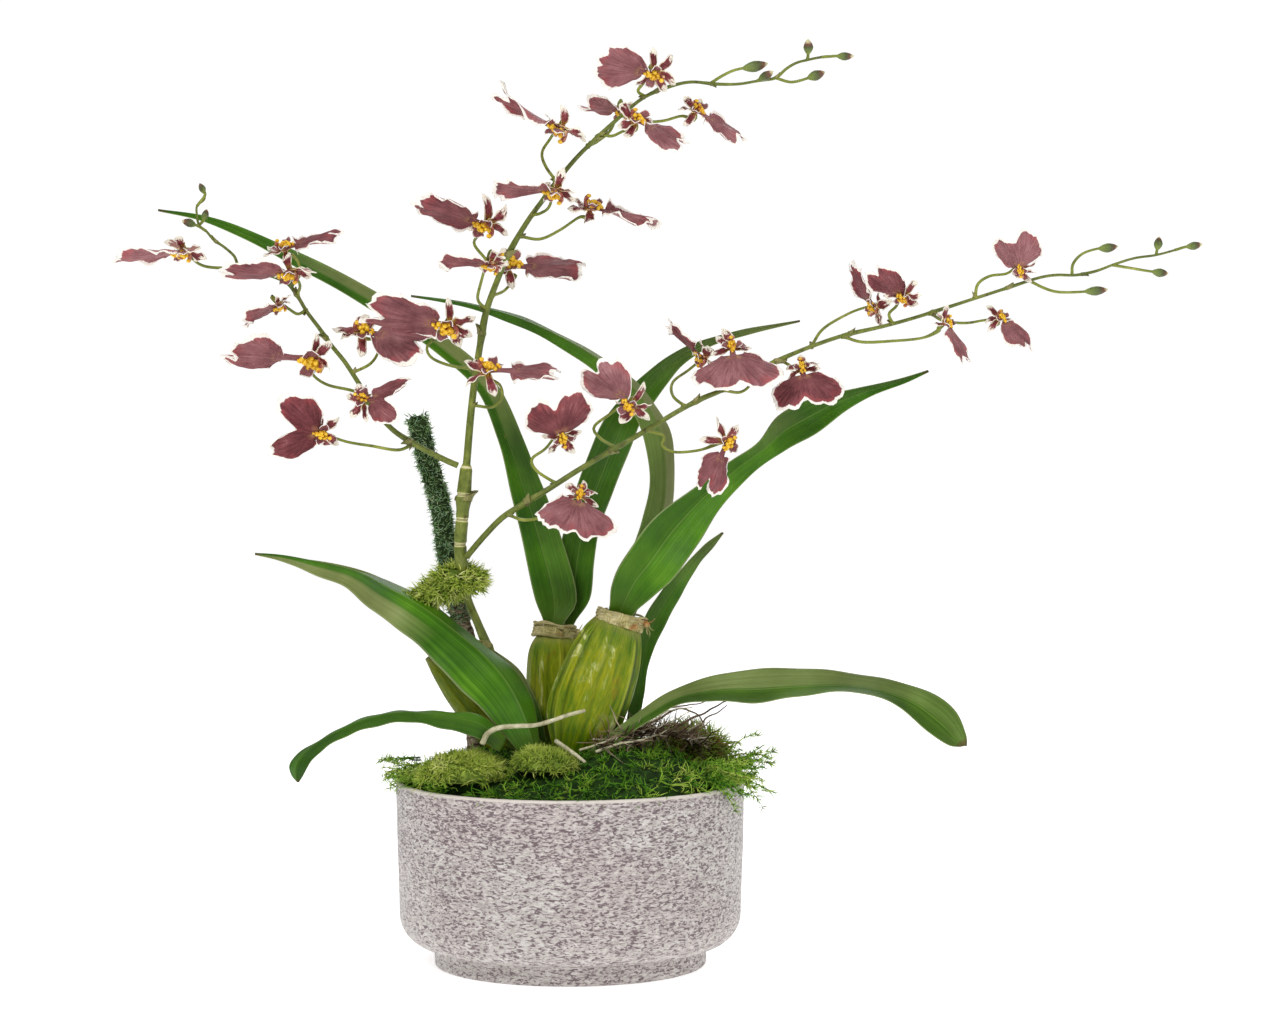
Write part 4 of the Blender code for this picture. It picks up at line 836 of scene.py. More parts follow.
# ------------------------------------------------------------ pseudobulbs --
BULBS = {
    "pseudobulb_right": dict(base=(566, 764, -24), top=(619, 622, -13), ribs=11, lean=0.5, seed=3,
                             prof=[(0.0, 7, 7), (0.14, 18, 14), (0.30, 26, 19), (0.50, 27.5, 20),
                                   (0.72, 25.5, 17.5), (0.90, 21, 14), (1.0, 16, 9)]),
    "pseudobulb_left": dict(base=(558, 766, 28), top=(555, 633, 33), ribs=10, lean=0.1, seed=5,
                            prof=[(0.0, 9, 7), (0.12, 16, 11), (0.35, 21, 15), (0.60, 21, 15),
                                  (0.80, 20, 14), (0.92, 17, 12), (1.0, 12, 8)]),
    "pseudobulb_young": dict(base=(516, 762, -4), top=(429, 656, -8), ribs=6, lean=0.0, seed=8,
                             prof=[(0.0, 5, 5), (0.15, 9, 7), (0.40, 11, 8), (0.65, 10, 7),
                                   (0.85, 7, 5), (1.0, 3.5, 2.5)]),
}


def bulb(name, spec, rings=50, sides=100):
    base, top = mm([spec["base"], spec["top"]])
    axis = unit(top - base)
    across = unit(np.array([1.0, 0, 0]) - axis * axis[0])
    back = np.cross(axis, across)
    prof = np.asarray(spec["prof"], float)
    sp = spline(np.column_stack([prof[:, 0], prof[:, 1], prof[:, 2]]), 400)
    s = np.linspace(0, 1, rings)
    W, D = np.interp(s, sp[:, 0], sp[:, 1]) * .001, np.interp(s, sp[:, 0], sp[:, 2]) * .001
    th = np.linspace(0, 2 * PI, sides, endpoint=False)
    rg = np.random.default_rng(spec["seed"])
    m = spec["ribs"]
    where = (np.arange(m) + rg.uniform(-.25, .25, m)) * 2 * PI / m
    high = rg.uniform(.5, 1.0, m)
    S, TH = np.meshgrid(s, th, indexing="ij")
    TH2 = TH + spec["lean"] * (S - 0.5) + 0.12 * np.sin(3 * S + 1)
    rib = np.zeros_like(S)
    for c, h in zip(where, high):
        d = np.angle(np.exp(1j * (TH2 - c)))
        rib += h * np.exp(-(d / 0.085) ** 2) - 0.55 * h * np.exp(-((d - .20) / 0.10) ** 2)
    fade = smooth(0.0, 0.15, S) * (1 - 0.6 * smooth(0.85, 1.0, S))
    wr = nz(np.stack([np.cos(TH) * 2, np.sin(TH) * 2, S * 1.6], -1).reshape(-1, 3), 2.2, spec["seed"]).reshape(S.shape)
    k = 1 + fade * (0.050 * rib + 0.035 * wr) - 0.012
    P = (base + axis * (np.linalg.norm(top - base) * S)[..., None]
         + across * (W[:, None] * k * np.cos(TH))[..., None] + back * (D[:, None] * k * np.sin(TH))[..., None])
    g = Geo("along", "across", "tone", "rand")
    verts = np.concatenate([P.reshape(-1, 3), [base], [top]])
    j = np.arange(sides)
    e = (rings - 1) * sides
    # direction of the ring: keep faces outward
    q = grid_faces(rings, sides, wrap_n=True)
    c0 = np.stack([np.full(sides, rings * sides), (j + 1) % sides, j], 1)
    c1 = np.stack([np.full(sides, rings * sides + 1), e + j, e + (j + 1) % sides], 1)
    g.add(verts, [q, c0, c1], 0, along=np.append(S.ravel(), [0, 1]), across=np.append((TH / PI - 1).ravel(), [0, 0]),
          tone=np.append((rib * fade).ravel(), [0, 0]), rand=spec["seed"] * .1)
    return place(g.object(name + "_ribbed", [BULB]), name)


for name, spec in BULBS.items():
    bulb(name, spec)


def cuff(node, centre, top, r0, r1, d0, d1, seed):
    """A dry papery sheath: ragged at the top, clinging to the bulb below."""
    c0, c1 = mm([centre, top])
    axis = unit(c1 - c0)
    across = unit(np.array([1.0, 0, 0]) - axis * axis[0])
    back = np.cross(axis, across)
    L = np.linalg.norm(c1 - c0)
    rg = np.random.default_rng(seed)
    g = Geo("along", "across", "face")
    m, n = 14, 96
    t = np.linspace(0, 1, m)
    th = np.linspace(0, 2 * PI, n)
    rag = 0.26 * np.sin(2 * th + seed) + 0.20 * np.sin(5 * th + 2 * seed) + 0.16 * np.sin(11 * th) + 0.12 * np.sin(23 * th + 1)
    T, TH = np.meshgrid(t, th, indexing="ij")
    Z = T * (0.50 + 0.38 * rag[None]) * L - 0.0030
    w = r0 + (r1 - r0) * T + 0.0006 * np.sin(9 * TH + 3 * T) - 0.0012 * T ** 2 + 0.0009 * T ** 2 * np.sin(6 * TH + seed)
    d = d0 + (d1 - d0) * T + 0.0006 * np.sin(9 * TH + 3 * T) - 0.0012 * T ** 2 + 0.0009 * T ** 2 * np.sin(6 * TH + seed)
    P = c0 + axis * Z[..., None] + across * (w * np.cos(TH))[..., None] + back * (d * np.sin(TH))[..., None]
    sheet(g, P, 0.0005, 0, 1.0, along=T, across=TH / PI - 1)
    for k in range(9):
        z0 = L * rg.uniform(-.08, .40)
        tilt, ph = rg.uniform(-.0032, .0032), rg.uniform(0, 2 * PI)
        a0 = rg.uniform(0, 2 * PI)
        q = np.linspace(a0, a0 + rg.uniform(3.6, 6.6), 60)
        f = np.clip(z0 / L, 0, 1)
        ww = (r0 + (r1 - r0) * f) + rg.uniform(.0002, .0011) + .0004 * np.sin(7 * q + k)
        dd = (d0 + (d1 - d0) * f) + rg.uniform(.0002, .0011) + .0004 * np.sin(7 * q + k)
        z = z0 + tilt * np.sin(q + ph) + .0007 * np.sin(4 * q + 2 * k)
        path = c0 + axis * z[:, None] + across * (ww * np.cos(q))[:, None] + back * (dd * np.sin(q))[:, None]
        size = rg.uniform(.0005, .0012) * (1 + .35 * np.sin(np.linspace(0, 19, 60) + k)) * smooth(0, .06, np.linspace(0, 1, 60)) + .0001
        tube(g, path, size, 7, 0, along=np.linspace(0, 6, 60) % 1 * .6)
    # a knot and loose ends at the right
    kc = c0 + axis * (L * .28) + across * (r0 + .0012) - back * .0030 * np.sign(back[1] if abs(back[1]) > .01 else 1)
    blob(g, kc, across * .0026, axis * .0022, back * .0024, 20, 12, 0, .22, along=.9)
    for k in range(6):
        e = unit(across * rg.uniform(.4, 1.2) + axis * rg.normal(0, .8) - back * rg.uniform(-.4, .8))
        pts = np.array([kc, kc + e * .003, kc + e * .0055 + axis * rg.normal(0, .0012), kc + e * .0075 + axis * rg.normal(0, .002)])
        tube(g, spline(pts, 14), np.linspace(.0006, .00015, 15), 5, 0, along=.5)
    return place(g.object(node + "_papery", [SHEATH]), node)


cuff("sheath_left", (555, 633.5, 33.5), (558, 617, 35.5), 0.0146, 0.0158, 0.0100, 0.0142, 2)
cuff("sheath_right", (620, 622, -13), (626, 603, -12), 0.0164, 0.0166, 0.0112, 0.0160, 4)

# ---------------------------------------------------------------- flowers --
FLOWERS = {
    "flower_m01": (655, 73, -36, 592, 71, -1, 35, 50, 38),
    "flower_m02": (562, 128, -46, 491, 103, -1, 80, 56, 34),
    "flower_m03": (636, 120, -48, 689, 147, -1, 55, 46, 28),
    "flower_m04": (696, 110, -14, 743, 140, -1, 55, 42, 24),
    "flower_m05": (556, 191, -44, 488, 189, -1, 72, 52, 34),
    "flower_m06": (590, 208, -4, 661, 220, -1, 76, 52, 28),
    "flower_m07": (487, 225, -34, 414, 203, -1, 48, 56, 34),
    "flower_m08": (492, 264, -56, 438, 269, -1, 78, 42, 30),
    "flower_m09": (508, 266, 8, 591, 267, -1, 50, 60, 34),
    "flower_m10": (622, 112, 2, 581, 108, -1, 60, 36, 26),
    "flower_m11": (487, 370, -34, 563, 370, -1, 52, 56, 26),
    "flower_m12": (450, 326, -24, 363, 312, -1, 40, 64, 44),
    "flower_l01": (362, 331, 6, 433, 345, -1, 35, 54, 44),
    "flower_l02": (284, 249, 12, 343, 230, -1, 66, 46, 26),
    "flower_l03": (290, 272, -22, 224, 280, -1, 66, 50, 32),
    "flower_l04": (279, 305, -12, 246, 327, -1, 74, 34, 26),
    "flower_l05": (314, 359, -22, 223, 354, -1, 45, 66, 36),
    "flower_l06": (183, 250, 6, 119, 266, -1, 76, 50, 30),
    "flower_l07": (362, 399, -28, 408, 398, -1, 30, 40, 46),
    "flower_l08": (322, 434, -24, 276, 424, -1, 15, 46, 60),
    "flower_r01": (580, 494, -42, 573, 529, -1, 0, 40, 68),
    "flower_r02": (563, 438, -38, 556, 403, -1, 0, 42, 64),
    "flower_r03": (631, 406, -40, 590, 364, -1, 30, 46, 42),
    "flower_r04": (732, 346, -26, 735, 385, -1, 0, 42, 78),
    "flower_r05": (704, 358, 6, 660, 324, 1, 72, 44, 26),
    "flower_r06": (727, 441, -40, 706, 497, -1, 35, 46, 34),
    "flower_r07": (802, 367, -20, 806, 403, -1, 0, 40, 62),
    "flower_r08": (876, 308, 14, 842, 266, 1, 62, 44, 26),
    "flower_r09": (904, 297, -18, 866, 274, -1, 45, 40, 32),
    "flower_r10": (946, 322, -14, 969, 361, -1, 62, 34, 20),
    "flower_r11": (1000, 317, 6, 1029, 349, -1, 45, 34, 24),
    "flower_r12": (1021, 270, -8, 1008, 240, -1, 15, 34, 44),
}


def flower_frame(name):
    """Origin, lip line, width line, face normal, length and width of a flower."""
    u, v, y, tu, tv, sgn, roll, length, width = FLOWERS[name]
    y = sway([(u, v, y)], name[7])[0, 2] * .001
    c = at(u, v, y)
    flat = at(tu, tv, y) - c
    size = length * .001
    fl = np.linalg.norm(flat)
    lip = flat + np.array([0, sgn * math.sqrt(size * size - fl * fl), 0]) if fl < size else flat * (size / fl)
    lip = unit(lip)
    see = unit(STATION - c)
    nrm = see - lip * see.dot(lip)
    if np.linalg.norm(nrm) < 0.05:
        nrm = np.array([0, 0, 1.0]) - lip * lip[2]
    nrm = unit(nrm)
    wid = unit(np.cross(nrm, lip))
    a = math.radians(roll)
    nrm, wid = nrm * math.cos(a) + wid * math.sin(a), wid * math.cos(a) - nrm * math.sin(a)
    return c, lip, wid, nrm, size, width * .001


# How each flower's lip is made: waist (share of its length), notch, bend of
# the two halves, droop of the edge, and how dark it is.
LIPS = {
    "m01": (.20, .16, .12, .10, .35), "m02": (.16, .20, -.10, .22, .80), "m03": (.24, .18, .10, .14, .15),
    "m04": (.26, .16, .06, .14, .15), "m05": (.14, .10, -.14, .06, .40), "m06": (.22, .20, .10, .14, .45),
    "m07": (.18, .14, .10, .04, .60), "m08": (.12, .16, .16, .12, .60), "m09": (.24, .12, .08, .04, .25),
    "m10": (.18, .14, .14, .10, .30), "m11": (.34, .16, .14, .10, .35), "m12": (.16, .22, .10, .08, .45),
    "l01": (.22, .22, .14, .14, .40), "l02": (.22, .26, .06, .14, .55), "l03": (.12, .16, .20, .18, .60),
    "l04": (.14, .18, .10, .12, .50), "l05": (.36, .14, .14, .04, .50), "l06": (.12, .16, .10, .10, .05),
    "l07": (.22, .55, .14, .10, .70), "l08": (.10, .42, .06, .10, .95), "r01": (.20, .10, .10, .16, .25),
    "r02": (.14, .24, .12, .12, .85), "r03": (.22, .30, .10, .10, .00), "r04": (.24, .20, .12, .18, .25),
    "r05": (.24, .22, .16, .20, .80), "r06": (.26, .45, .18, .14, .60), "r07": (.22, .20, .14, .16, .80),
    "r08": (.16, .20, .18, .22, .85), "r09": (.14, .26, .14, .12, .85), "r10": (.18, .16, .16, .20, .10),
    "r11": (.18, .20, .14, .12, .20), "r12": (.12, .20, .22, .20, .15),
}
LIP_R = np.array([(0, .97), (12, 1.0), (26, 1.0), (40, .94), (54, .82), (66, .66), (78, .47), (90, .30), (102, .18)])
LIP_T = np.array([0, .05, .10, .16, .23, .31, .40, .49, .58, .66, .73, .79, .84, .88, .915, .945, .97, 1.0])


def tepal(g, base, d, side, nrm, length, width, curl, twist, rand, rg, tint=0.0, mat=1):
    m, n = 13, 7
    t = np.linspace(0, 1, m)
    x = np.linspace(-1, 1, n)
    w = width / 2 * (0.30 + 0.70 * np.sin(PI * np.clip(t * 0.90 + 0.03, 0, 1) ** 1.2) ** 0.8)
    w = w * np.sqrt(np.clip(1 - smooth(0.70, 1.02, t) ** 2 * 0.985, 0, 1))
    ph = rg.uniform(0, 6.28, 4)
    w = w * (1 + 0.10 * np.sin(11 * t + ph[2]))
    P = np.zeros((m, n, 3))
    bow = rg.uniform(-.16, .16) * length
    for j, q in enumerate(x):
        ang = twist * t ** 1.3
        sd = side * np.cos(ang)[:, None] + nrm * np.sin(ang)[:, None]
        up = nrm * np.cos(ang)[:, None] - side * np.sin(ang)[:, None]
        z = (curl * length * t ** 2.0 + 0.25 * w * q * q * np.cos(2.5 * t + ph[3])
             + 0.28 * w * abs(q) ** 2 * np.sin(12 * t + ph[0] + (2 if q > 0 else 0)) + 0.05 * length * np.sin(5 * t + ph[1]) * t)
        P[:, j] = (base + d * (length * (t - 0.35 * abs(curl) * t ** 3))[:, None] + sd * (w * q)[:, None]
                   + side * (bow * t * t)[:, None] + up * z[:, None])
    sheet(g, P, 0.00045, mat, 1.0, along=np.repeat(t[:, None], n, 1), across=np.repeat(x[None], m, 0), rand=rand, tint=tint)


def flower(name, seed):
    c, L, W, N, size, width = flower_frame(name)
    w0, notch, fold, droop, tint = LIPS[name[7:]]
    rg = np.random.default_rng(100 + seed)
    g = Geo("along", "across", "face", "rand", "tint")
    rand = rg.uniform(0, 5)
    # lip: a fan with two lobes and a notch, flaring from a narrow waist
    na = 44
    TH = math.radians(102)
    x = np.linspace(-1, 1, na + 1)
    x = x * (0.85 + 0.15 * np.abs(x))
    th = x * TH
    ph = rg.uniform(0, 6.28, 10)
    deg = np.degrees(th)
    R = np.interp(np.abs(deg), LIP_R[:, 0], LIP_R[:, 1])
    R = R * (1 - notch * np.exp(-((deg - 4 * math.sin(ph[6])) / (5.0 + 16 * notch)) ** 2))
    R = R * (1 + 0.060 * np.sin(2.3 * th + ph[0]) + 0.030 * np.sin(7 * th + ph[1]) + 0.022 * np.sin(17 * th + ph[2])
             + 0.014 * np.sin(37 * th + ph[3]))
    half = (1 - w0) * 0.80
    wide = (width / 2 / size) / half
    T_, X_ = np.meshgrid(LIP_T, x, indexing="ij")
    th2 = X_ * TH
    r = T_ * R[None]
    px = w0 + (1 - w0) * r * np.cos(th2)
    py = (1 - w0) * r * np.sin(th2) * wide + 0.035 * np.sin(th2) * (1 - T_)
    amp = rg.uniform(0.035, 0.065)
    lobe = np.abs(py)
    z = (-droop * (px - w0) ** 2 * np.sign(1) - fold * lobe ** 1.4 * 1.6
         + amp * T_ ** 2.5 * np.sin(4.6 * th2 + ph[4])
         + 0.6 * amp * T_ ** 4 * np.sin(9.5 * th2 + ph[5])
         + 0.024 * T_ ** 7 * np.sin(19 * th2 + ph[7])
         + 0.012 * T_ ** 9 * np.sin(41 * th2 + ph[8])
         + 0.035 * np.exp(-(th2 / .14) ** 2) * T_ ** 1.5
         - 0.018 * np.exp(-((np.abs(th2) - .5) / .22) ** 2) * T_)
    # the rim rolls up in some places and back in others
    roll = smooth(.80, 1.0, T_) ** 1.5 * np.sin(3.1 * th2 + ph[9])
    z = z + 0.055 * roll
    pull = 1 - 0.045 * np.abs(roll)
    px, py = w0 + (px - w0) * pull, py * pull
    P = c + L * (px * size)[..., None] + W * (py * size)[..., None] + N * (z * size)[..., None]
    thick = 0.00060 - 0.00030 * T_
    sheet(g, P, thick, 0, 1.0, along=T_, across=X_, rand=rand, tint=tint)
    # claw of the lip, from the column to the waist
    m, n = 9, 7
    t = np.linspace(0, 1, m)
    q = np.linspace(-1, 1, n)
    T2, Q = np.meshgrid(t, q, indexing="ij")
    P = (c + L * ((0.02 + (w0 + 0.04) * T2) * size)[..., None]
         + W * (Q * (0.070 - 0.030 * np.sin(PI * T2)) * size)[..., None]
         + N * ((0.018 * (1 - T2) - 0.02 * Q * Q + 0.004) * size)[..., None])
    sheet(g, P, 0.0007, 0, 1.0, along=0.10 + 0.25 * T2, across=Q * .3, rand=rand, tint=tint)
    # five tepals behind the lip
    tl = min(max(0.37 * size, 0.0125), 0.0205)
    back = c - N * 0.0010
    for deg_, ln, wd, lift, cu in ((180, .95, .42, .22, .35), (124, 1.0, .46, .18, -.30), (-124, 1.0, .46, .18, -.30),
                                   (78, 1.05, .34, -.16, -.30), (-78, 1.05, .34, -.16, -.30)):
        a = math.radians(deg_ + rg.uniform(-14, 14))
        d = unit(L * math.cos(a) + W * math.sin(a) + N * (lift + rg.uniform(-.22, .22)))
        sd = unit(np.cross(N, d))
        up = np.cross(d, sd)
        tepal(g, back - N * (0.0008 if abs(deg_) < 100 else 0), d, sd, up, tl * ln * rg.uniform(.82, 1.12),
              tl * wd * rg.uniform(.85, 1.15), cu * rg.uniform(-.4, 1.6), rg.uniform(-.9, .9), rg.uniform(0, 5), rg)
    # side lobes of the lip
    for sg in (-1, 1):
        m, n = 6, 7
        t = np.linspace(0, 1, m)
        q = np.linspace(-1, 1, n)
        T2, Q = np.meshgrid(t, q, indexing="ij")
        rr = 0.155 * size * (1 - 0.30 * Q ** 2) * rg.uniform(.8, 1.15)
        ang = Q * 0.85
        P = (c + L * (0.07 * size + (rr * T2 * np.sin(ang)))[..., None]
             + W * (sg * (0.03 * size + rr * T2 * np.cos(ang)))[..., None]
             + N * (0.035 * size + 0.06 * size * T2 ** 2 + 0.020 * size * np.sin(5 * Q + ph[4]) * T2)[..., None])
        sheet(g, P, 0.0004, 0, -sg, along=T2 * .97, across=Q * .5 + sg * 2, rand=rand + sg, tint=tint * .6)
    # crest: a cluster of knobs
    k = 0.036 * size
    for a_, b_, h_, s_ in ((.10, 0, .055, 1.10), (.065, .040, .06, 1.0), (.065, -.040, .06, 1.0), (.015, .028, .080, 1.0),
                           (.015, -.028, .080, 1.0), (.14, .025, .035, .8), (.14, -.025, .035, .8), (.175, 0, .03, .7),
                           (.04, .070, .045, .75), (.04, -.070, .045, .75), (-.03, 0, .085, .9), (.06, 0, .095, .8)):
        j = rg.normal(0, .010, 3)
        blob(g, c + L * (a_ + j[0]) * size + W * (b_ + j[1]) * size + N * (h_ + j[2] * .6) * size, L * k * s_, W * k * s_ * .78,
             N * k * s_ * 1.15, 8, 5, 2, 0.16, rand=rand)
    # column with its cap and wings
    p0 = c - L * 0.05 * size + N * 0.01 * size
    path = np.array([p0, p0 + N * .06 * size - L * .015 * size, p0 + N * .12 * size - L * .01 * size, p0 + N * .155 * size + L * .02 * size])
    tube(g, spline(path, 8), np.linspace(.034, .028, 9) * size, 9, 3, rand=rand)
    blob(g, path[-1], L * .034 * size, W * .032 * size, N * .028 * size, 10, 6, 2, 0.05, rand=rand)
    for sg in (-1, 1):
        blob(g, path[2] + W * sg * .038 * size, L * .020 * size, W * .026 * size, N * .030 * size, 8, 5, 3, 0.1, rand=rand)
    # receptacle
    blob(g, c - N * 0.0012, L * 0.0022, W * 0.0022, N * 0.0017, 10, 6, 3, 0.05, rand=rand)
    return place(g.object(name + "_bloom", [LIP, TEPAL, CREST, COLUMN]), name)


for i, name in enumerate(FLOWERS):
    flower(name, i)

# ------------------------------------------------------------------ stems --
MAIN = [(536, 742, -24), (526, 722, -18), (512, 696, -8), (499, 670, 1), (488, 648, 4),
        (477, 622, 1), (467, 597, -7), (462, 570, -11), (460, 545, -13), (462, 518, -14),
        (464, 490, -13), (467, 458, -13), (470, 422, -13), (474, 385, -13), (480, 345, -14),
        (486, 312, -15), (497, 281, -17), (510, 251, -19), (527, 222, -21), (545, 197, -23),
        (561, 176, -24), (579, 155, -25), (600, 135, -26), (622, 115, -26), (643, 98, -25),
        (665, 88, -24), (690, 82, -22), (716, 84, -20), (738, 84, -18), (757, 81, -17),
        (775, 78, -16), (786, 69, -16), (796, 63, -16), (807, 60, -16), (822, 57, -16), (836, 56, -16)]
LEFT = [(463, 468, -13), (445, 460, -16), (425, 450, -19), (409, 441, -20), (393, 430, -18),
        (378, 414, -14), (367, 397, -10), (356, 379, -6), (344, 361, -3), (331, 345, -1),
        (319, 328, 0), (307, 312, 0), (298, 297, 0), (288, 284, 1), (274, 277, 2), (258, 273, 3),
        (240, 267, 4), (234, 256, 5), (224, 247, 6), (214, 240, 7), (206, 231, 8), (199, 225, 8),
        (197, 216, 9), (197, 206, 9), (204, 200, 9), (205, 194, 9)]
RIGHT = [(462, 563, -14), (470, 553, -17), (485, 535, -22), (503, 517, -26), (525, 503, -28),
         (550, 488, -29), (575, 472, -29), (600, 457, -28), (628, 441, -27), (655, 425, -26),
         (680, 410, -25), (703, 398, -24), (720, 391, -22), (742, 379, -18), (766, 366, -14),
         (790, 355, -10), (815, 345, -8), (845, 335, -6), (880, 327, -4), (910, 319, -3),
         (942, 309, -2), (976, 298, -1), (1010, 287, 0), (1038, 278, 0), (1056, 275, 0),
         (1076, 275, 0), (1096, 271, 0), (1115, 264, 0), (1135, 258, 0), (1156, 255, 0),
         (1175, 250, 0), (1185, 247, 0)]
STALKS = {
    "m01": [(646, 97, -25), (638, 91, -26), (644, 82, -28)],
    "m02": [(557, 182, -24), (546, 167, -26), (542, 153, -30), (550, 139, -37)],
    "m03": [(601, 134, -26), (612, 136, -30), (624, 131, -36)],
    "m04": [(622, 115, -26), (640, 121, -22), (662, 121, -16), (682, 116, -11)],
    "m05": [(532, 215, -21), (541, 213, -30), (550, 205, -38)],
    "m06": [(519, 236, -20), (540, 239, -14), (560, 230, -8), (580, 217, -4)],
    "m07": [(500, 273, -17), (484, 257, -15), (474, 243, -15), (481, 232, -22)],
    "m08": [(486, 309, -15), (478, 300, -26), (480, 286, -38)],
    "m09": [(492, 296, -16), (505, 290, 0), (516, 276, 14)],
    "m10": [(588, 146, -26), (598, 141, -14), (612, 128, 4)],
    "m11": [(472, 405, -13), (492, 407, -20), (502, 398, -28), (500, 385, -32)],
    "m12": [(477, 369, -13), (452, 366, -12), (432, 358, -12), (427, 347, -14), (436, 337, -18)],
    "l01": [(352, 373, -5), (370, 364, 2), (378, 352, 8), (376, 341, 10)],
    "l02": [(291, 287, 0), (300, 274, 6), (298, 262, 11), (291, 254, 13)],
    "l03": [(297, 295, 0), (300, 286, -10), (296, 277, -18)],
    "l04": [(306, 310, 0), (298, 314, -6), (289, 309, -9)],
    "l05": [(366, 395, -10), (350, 390, -15), (328, 385, -18), (314, 376, -18), (312, 367, -18)],
    "l06": [(240, 268, 4), (222, 268, 6), (204, 266, 8), (192, 258, 9)],
    "l07": [(375, 409, -13), (372, 405, -20)],
    "l08": [(413, 444, -20), (398, 450, -20), (372, 446, -18), (344, 441, -18)],
    "r01": [(507, 514, -27), (524, 520, -26), (546, 516, -24), (566, 505, -30)],
    "r02": [(557, 484, -29), (537, 471, -28), (532, 459, -27), (546, 448, -28)],
    "r03": [(616, 448, -27), (600, 438, -22), (594, 427, -20), (610, 414, -24)],
    "r04": [(722, 390, -22), (741, 392, -14), (752, 380, -10), (744, 361, -14)],
    "r05": [(686, 407, -25), (673, 396, -12), (673, 382, 4), (690, 369, 16)],
    "r06": [(646, 430, -26), (664, 436, -24), (662, 445, -25), (674, 452, -28), (700, 450, -32)],
    "r07": [(780, 360, -12), (791, 366, -8), (798, 370, -8)],
    "r08": [(811, 347, -8), (822, 330, 6), (840, 318, 16), (860, 309, 23)],
    "r09": [(893, 324, -4), (889, 314, -8), (897, 305, -11)],
    "r10": [(842, 336, -6), (862, 342, -4), (892, 341, -4), (922, 338, -4), (938, 331, -6)],
    "r11": [(930, 313, -3), (944, 321, 4), (966, 323, 10), (988, 320, 12)],
    "r12": [(975, 298, -1), (978, 284, -1), (990, 276, 0), (1008, 273, 0)],
}
BUDS = {
    "m": [([(711, 83, -20), (722, 76, -19), (735, 70, -18)], (755, 66, -17), 18, 3.9),
          ([(757, 81, -17), (760, 79, -17)], (766, 75.5, -20), 14, 3.2),
          ([(807, 60, -16), (808, 56, -16)], (808, 47, -16), 11, 3.4),
          ([(776, 78, -16), (790, 82, -14), (802, 80, -13)], (816, 75, -13), 13, 3.6),
          ([(822, 57, -16), (836, 56, -16)], (845, 56, -16), 12, 2.9)],
    "l": [([(197, 206, 9), (205, 195, 9)], (202, 188.5, 9), 8, 2.4),
          ([(206, 231, 8), (198, 226, 4)], (189, 223, 2), 12, 3.0),
          ([(199, 225, 8), (203, 221, 10)], (205, 215, 11), 9, 2.5)],
    "r": [([(1030, 281, 0), (1044, 288, -3), (1058, 292, -5), (1078, 292, -5)], (1096, 290.5, -5), 18, 3.4),
          ([(1072, 275, 0), (1073, 264, 2), (1082, 254, 4), (1096, 249, 4)], (1108, 247.5, 4), 15, 3.4),
          ([(1156, 255, 0), (1157, 250, 0)], (1158, 243.5, 0), 10, 3.2),
          ([(1112, 265, 0), (1130, 268, 4), (1148, 271, 6)], (1160, 272.5, 6), 13, 3.2),
          ([(1175, 250, 0), (1185, 247, 0)], (1194, 245.5, 0), 13, 3.0)],
}
STEM_R, PEDICEL_R = 0.0030, 0.0009


def bract(g, p, t, out, length, r):
    """A small pointed sheath clasping the stem at a joint."""
    m, n = 9, 9
    tt = np.linspace(0, 1, m)
    x = np.linspace(-1, 1, n)
    T, X = np.meshgrid(tt, x, indexing="ij")
    side = unit(np.cross(t, out))
    half = 2.4 * (1 - 0.93 * T ** 1.6)
    ang = X * half
    rad = r * (1.12 + 0.9 * T ** 2)
    P = (p + t * (length * T)[..., None] + out * (rad * np.cos(ang))[..., None] + side * (rad * np.sin(ang))[..., None])
    sheet(g, P, 0.0003, 0, 1.0, along=T, across=X, kind=3)


def bud(g, root, c, length, radius):
    t = unit(c - root)
    half = length * .0005
    s = np.linspace(-1, 1, 13)
    prof = np.interp(s, [-1.0, -.75, -.35, 0.0, .4, .75, 1.0], [.18, .55, .90, 1.0, .82, .48, .10])
    a = np.linspace(0, 2 * PI, 12, endpoint=False)
    bumps = 1 + 0.07 * np.cos(3 * a)[None] * np.ones((13, 1))
    tube(g, c + t * (half * s)[:, None], radius * .001 * prof, 12, 0, bumps=bumps, kind=2, along=np.linspace(0, 1, 13))


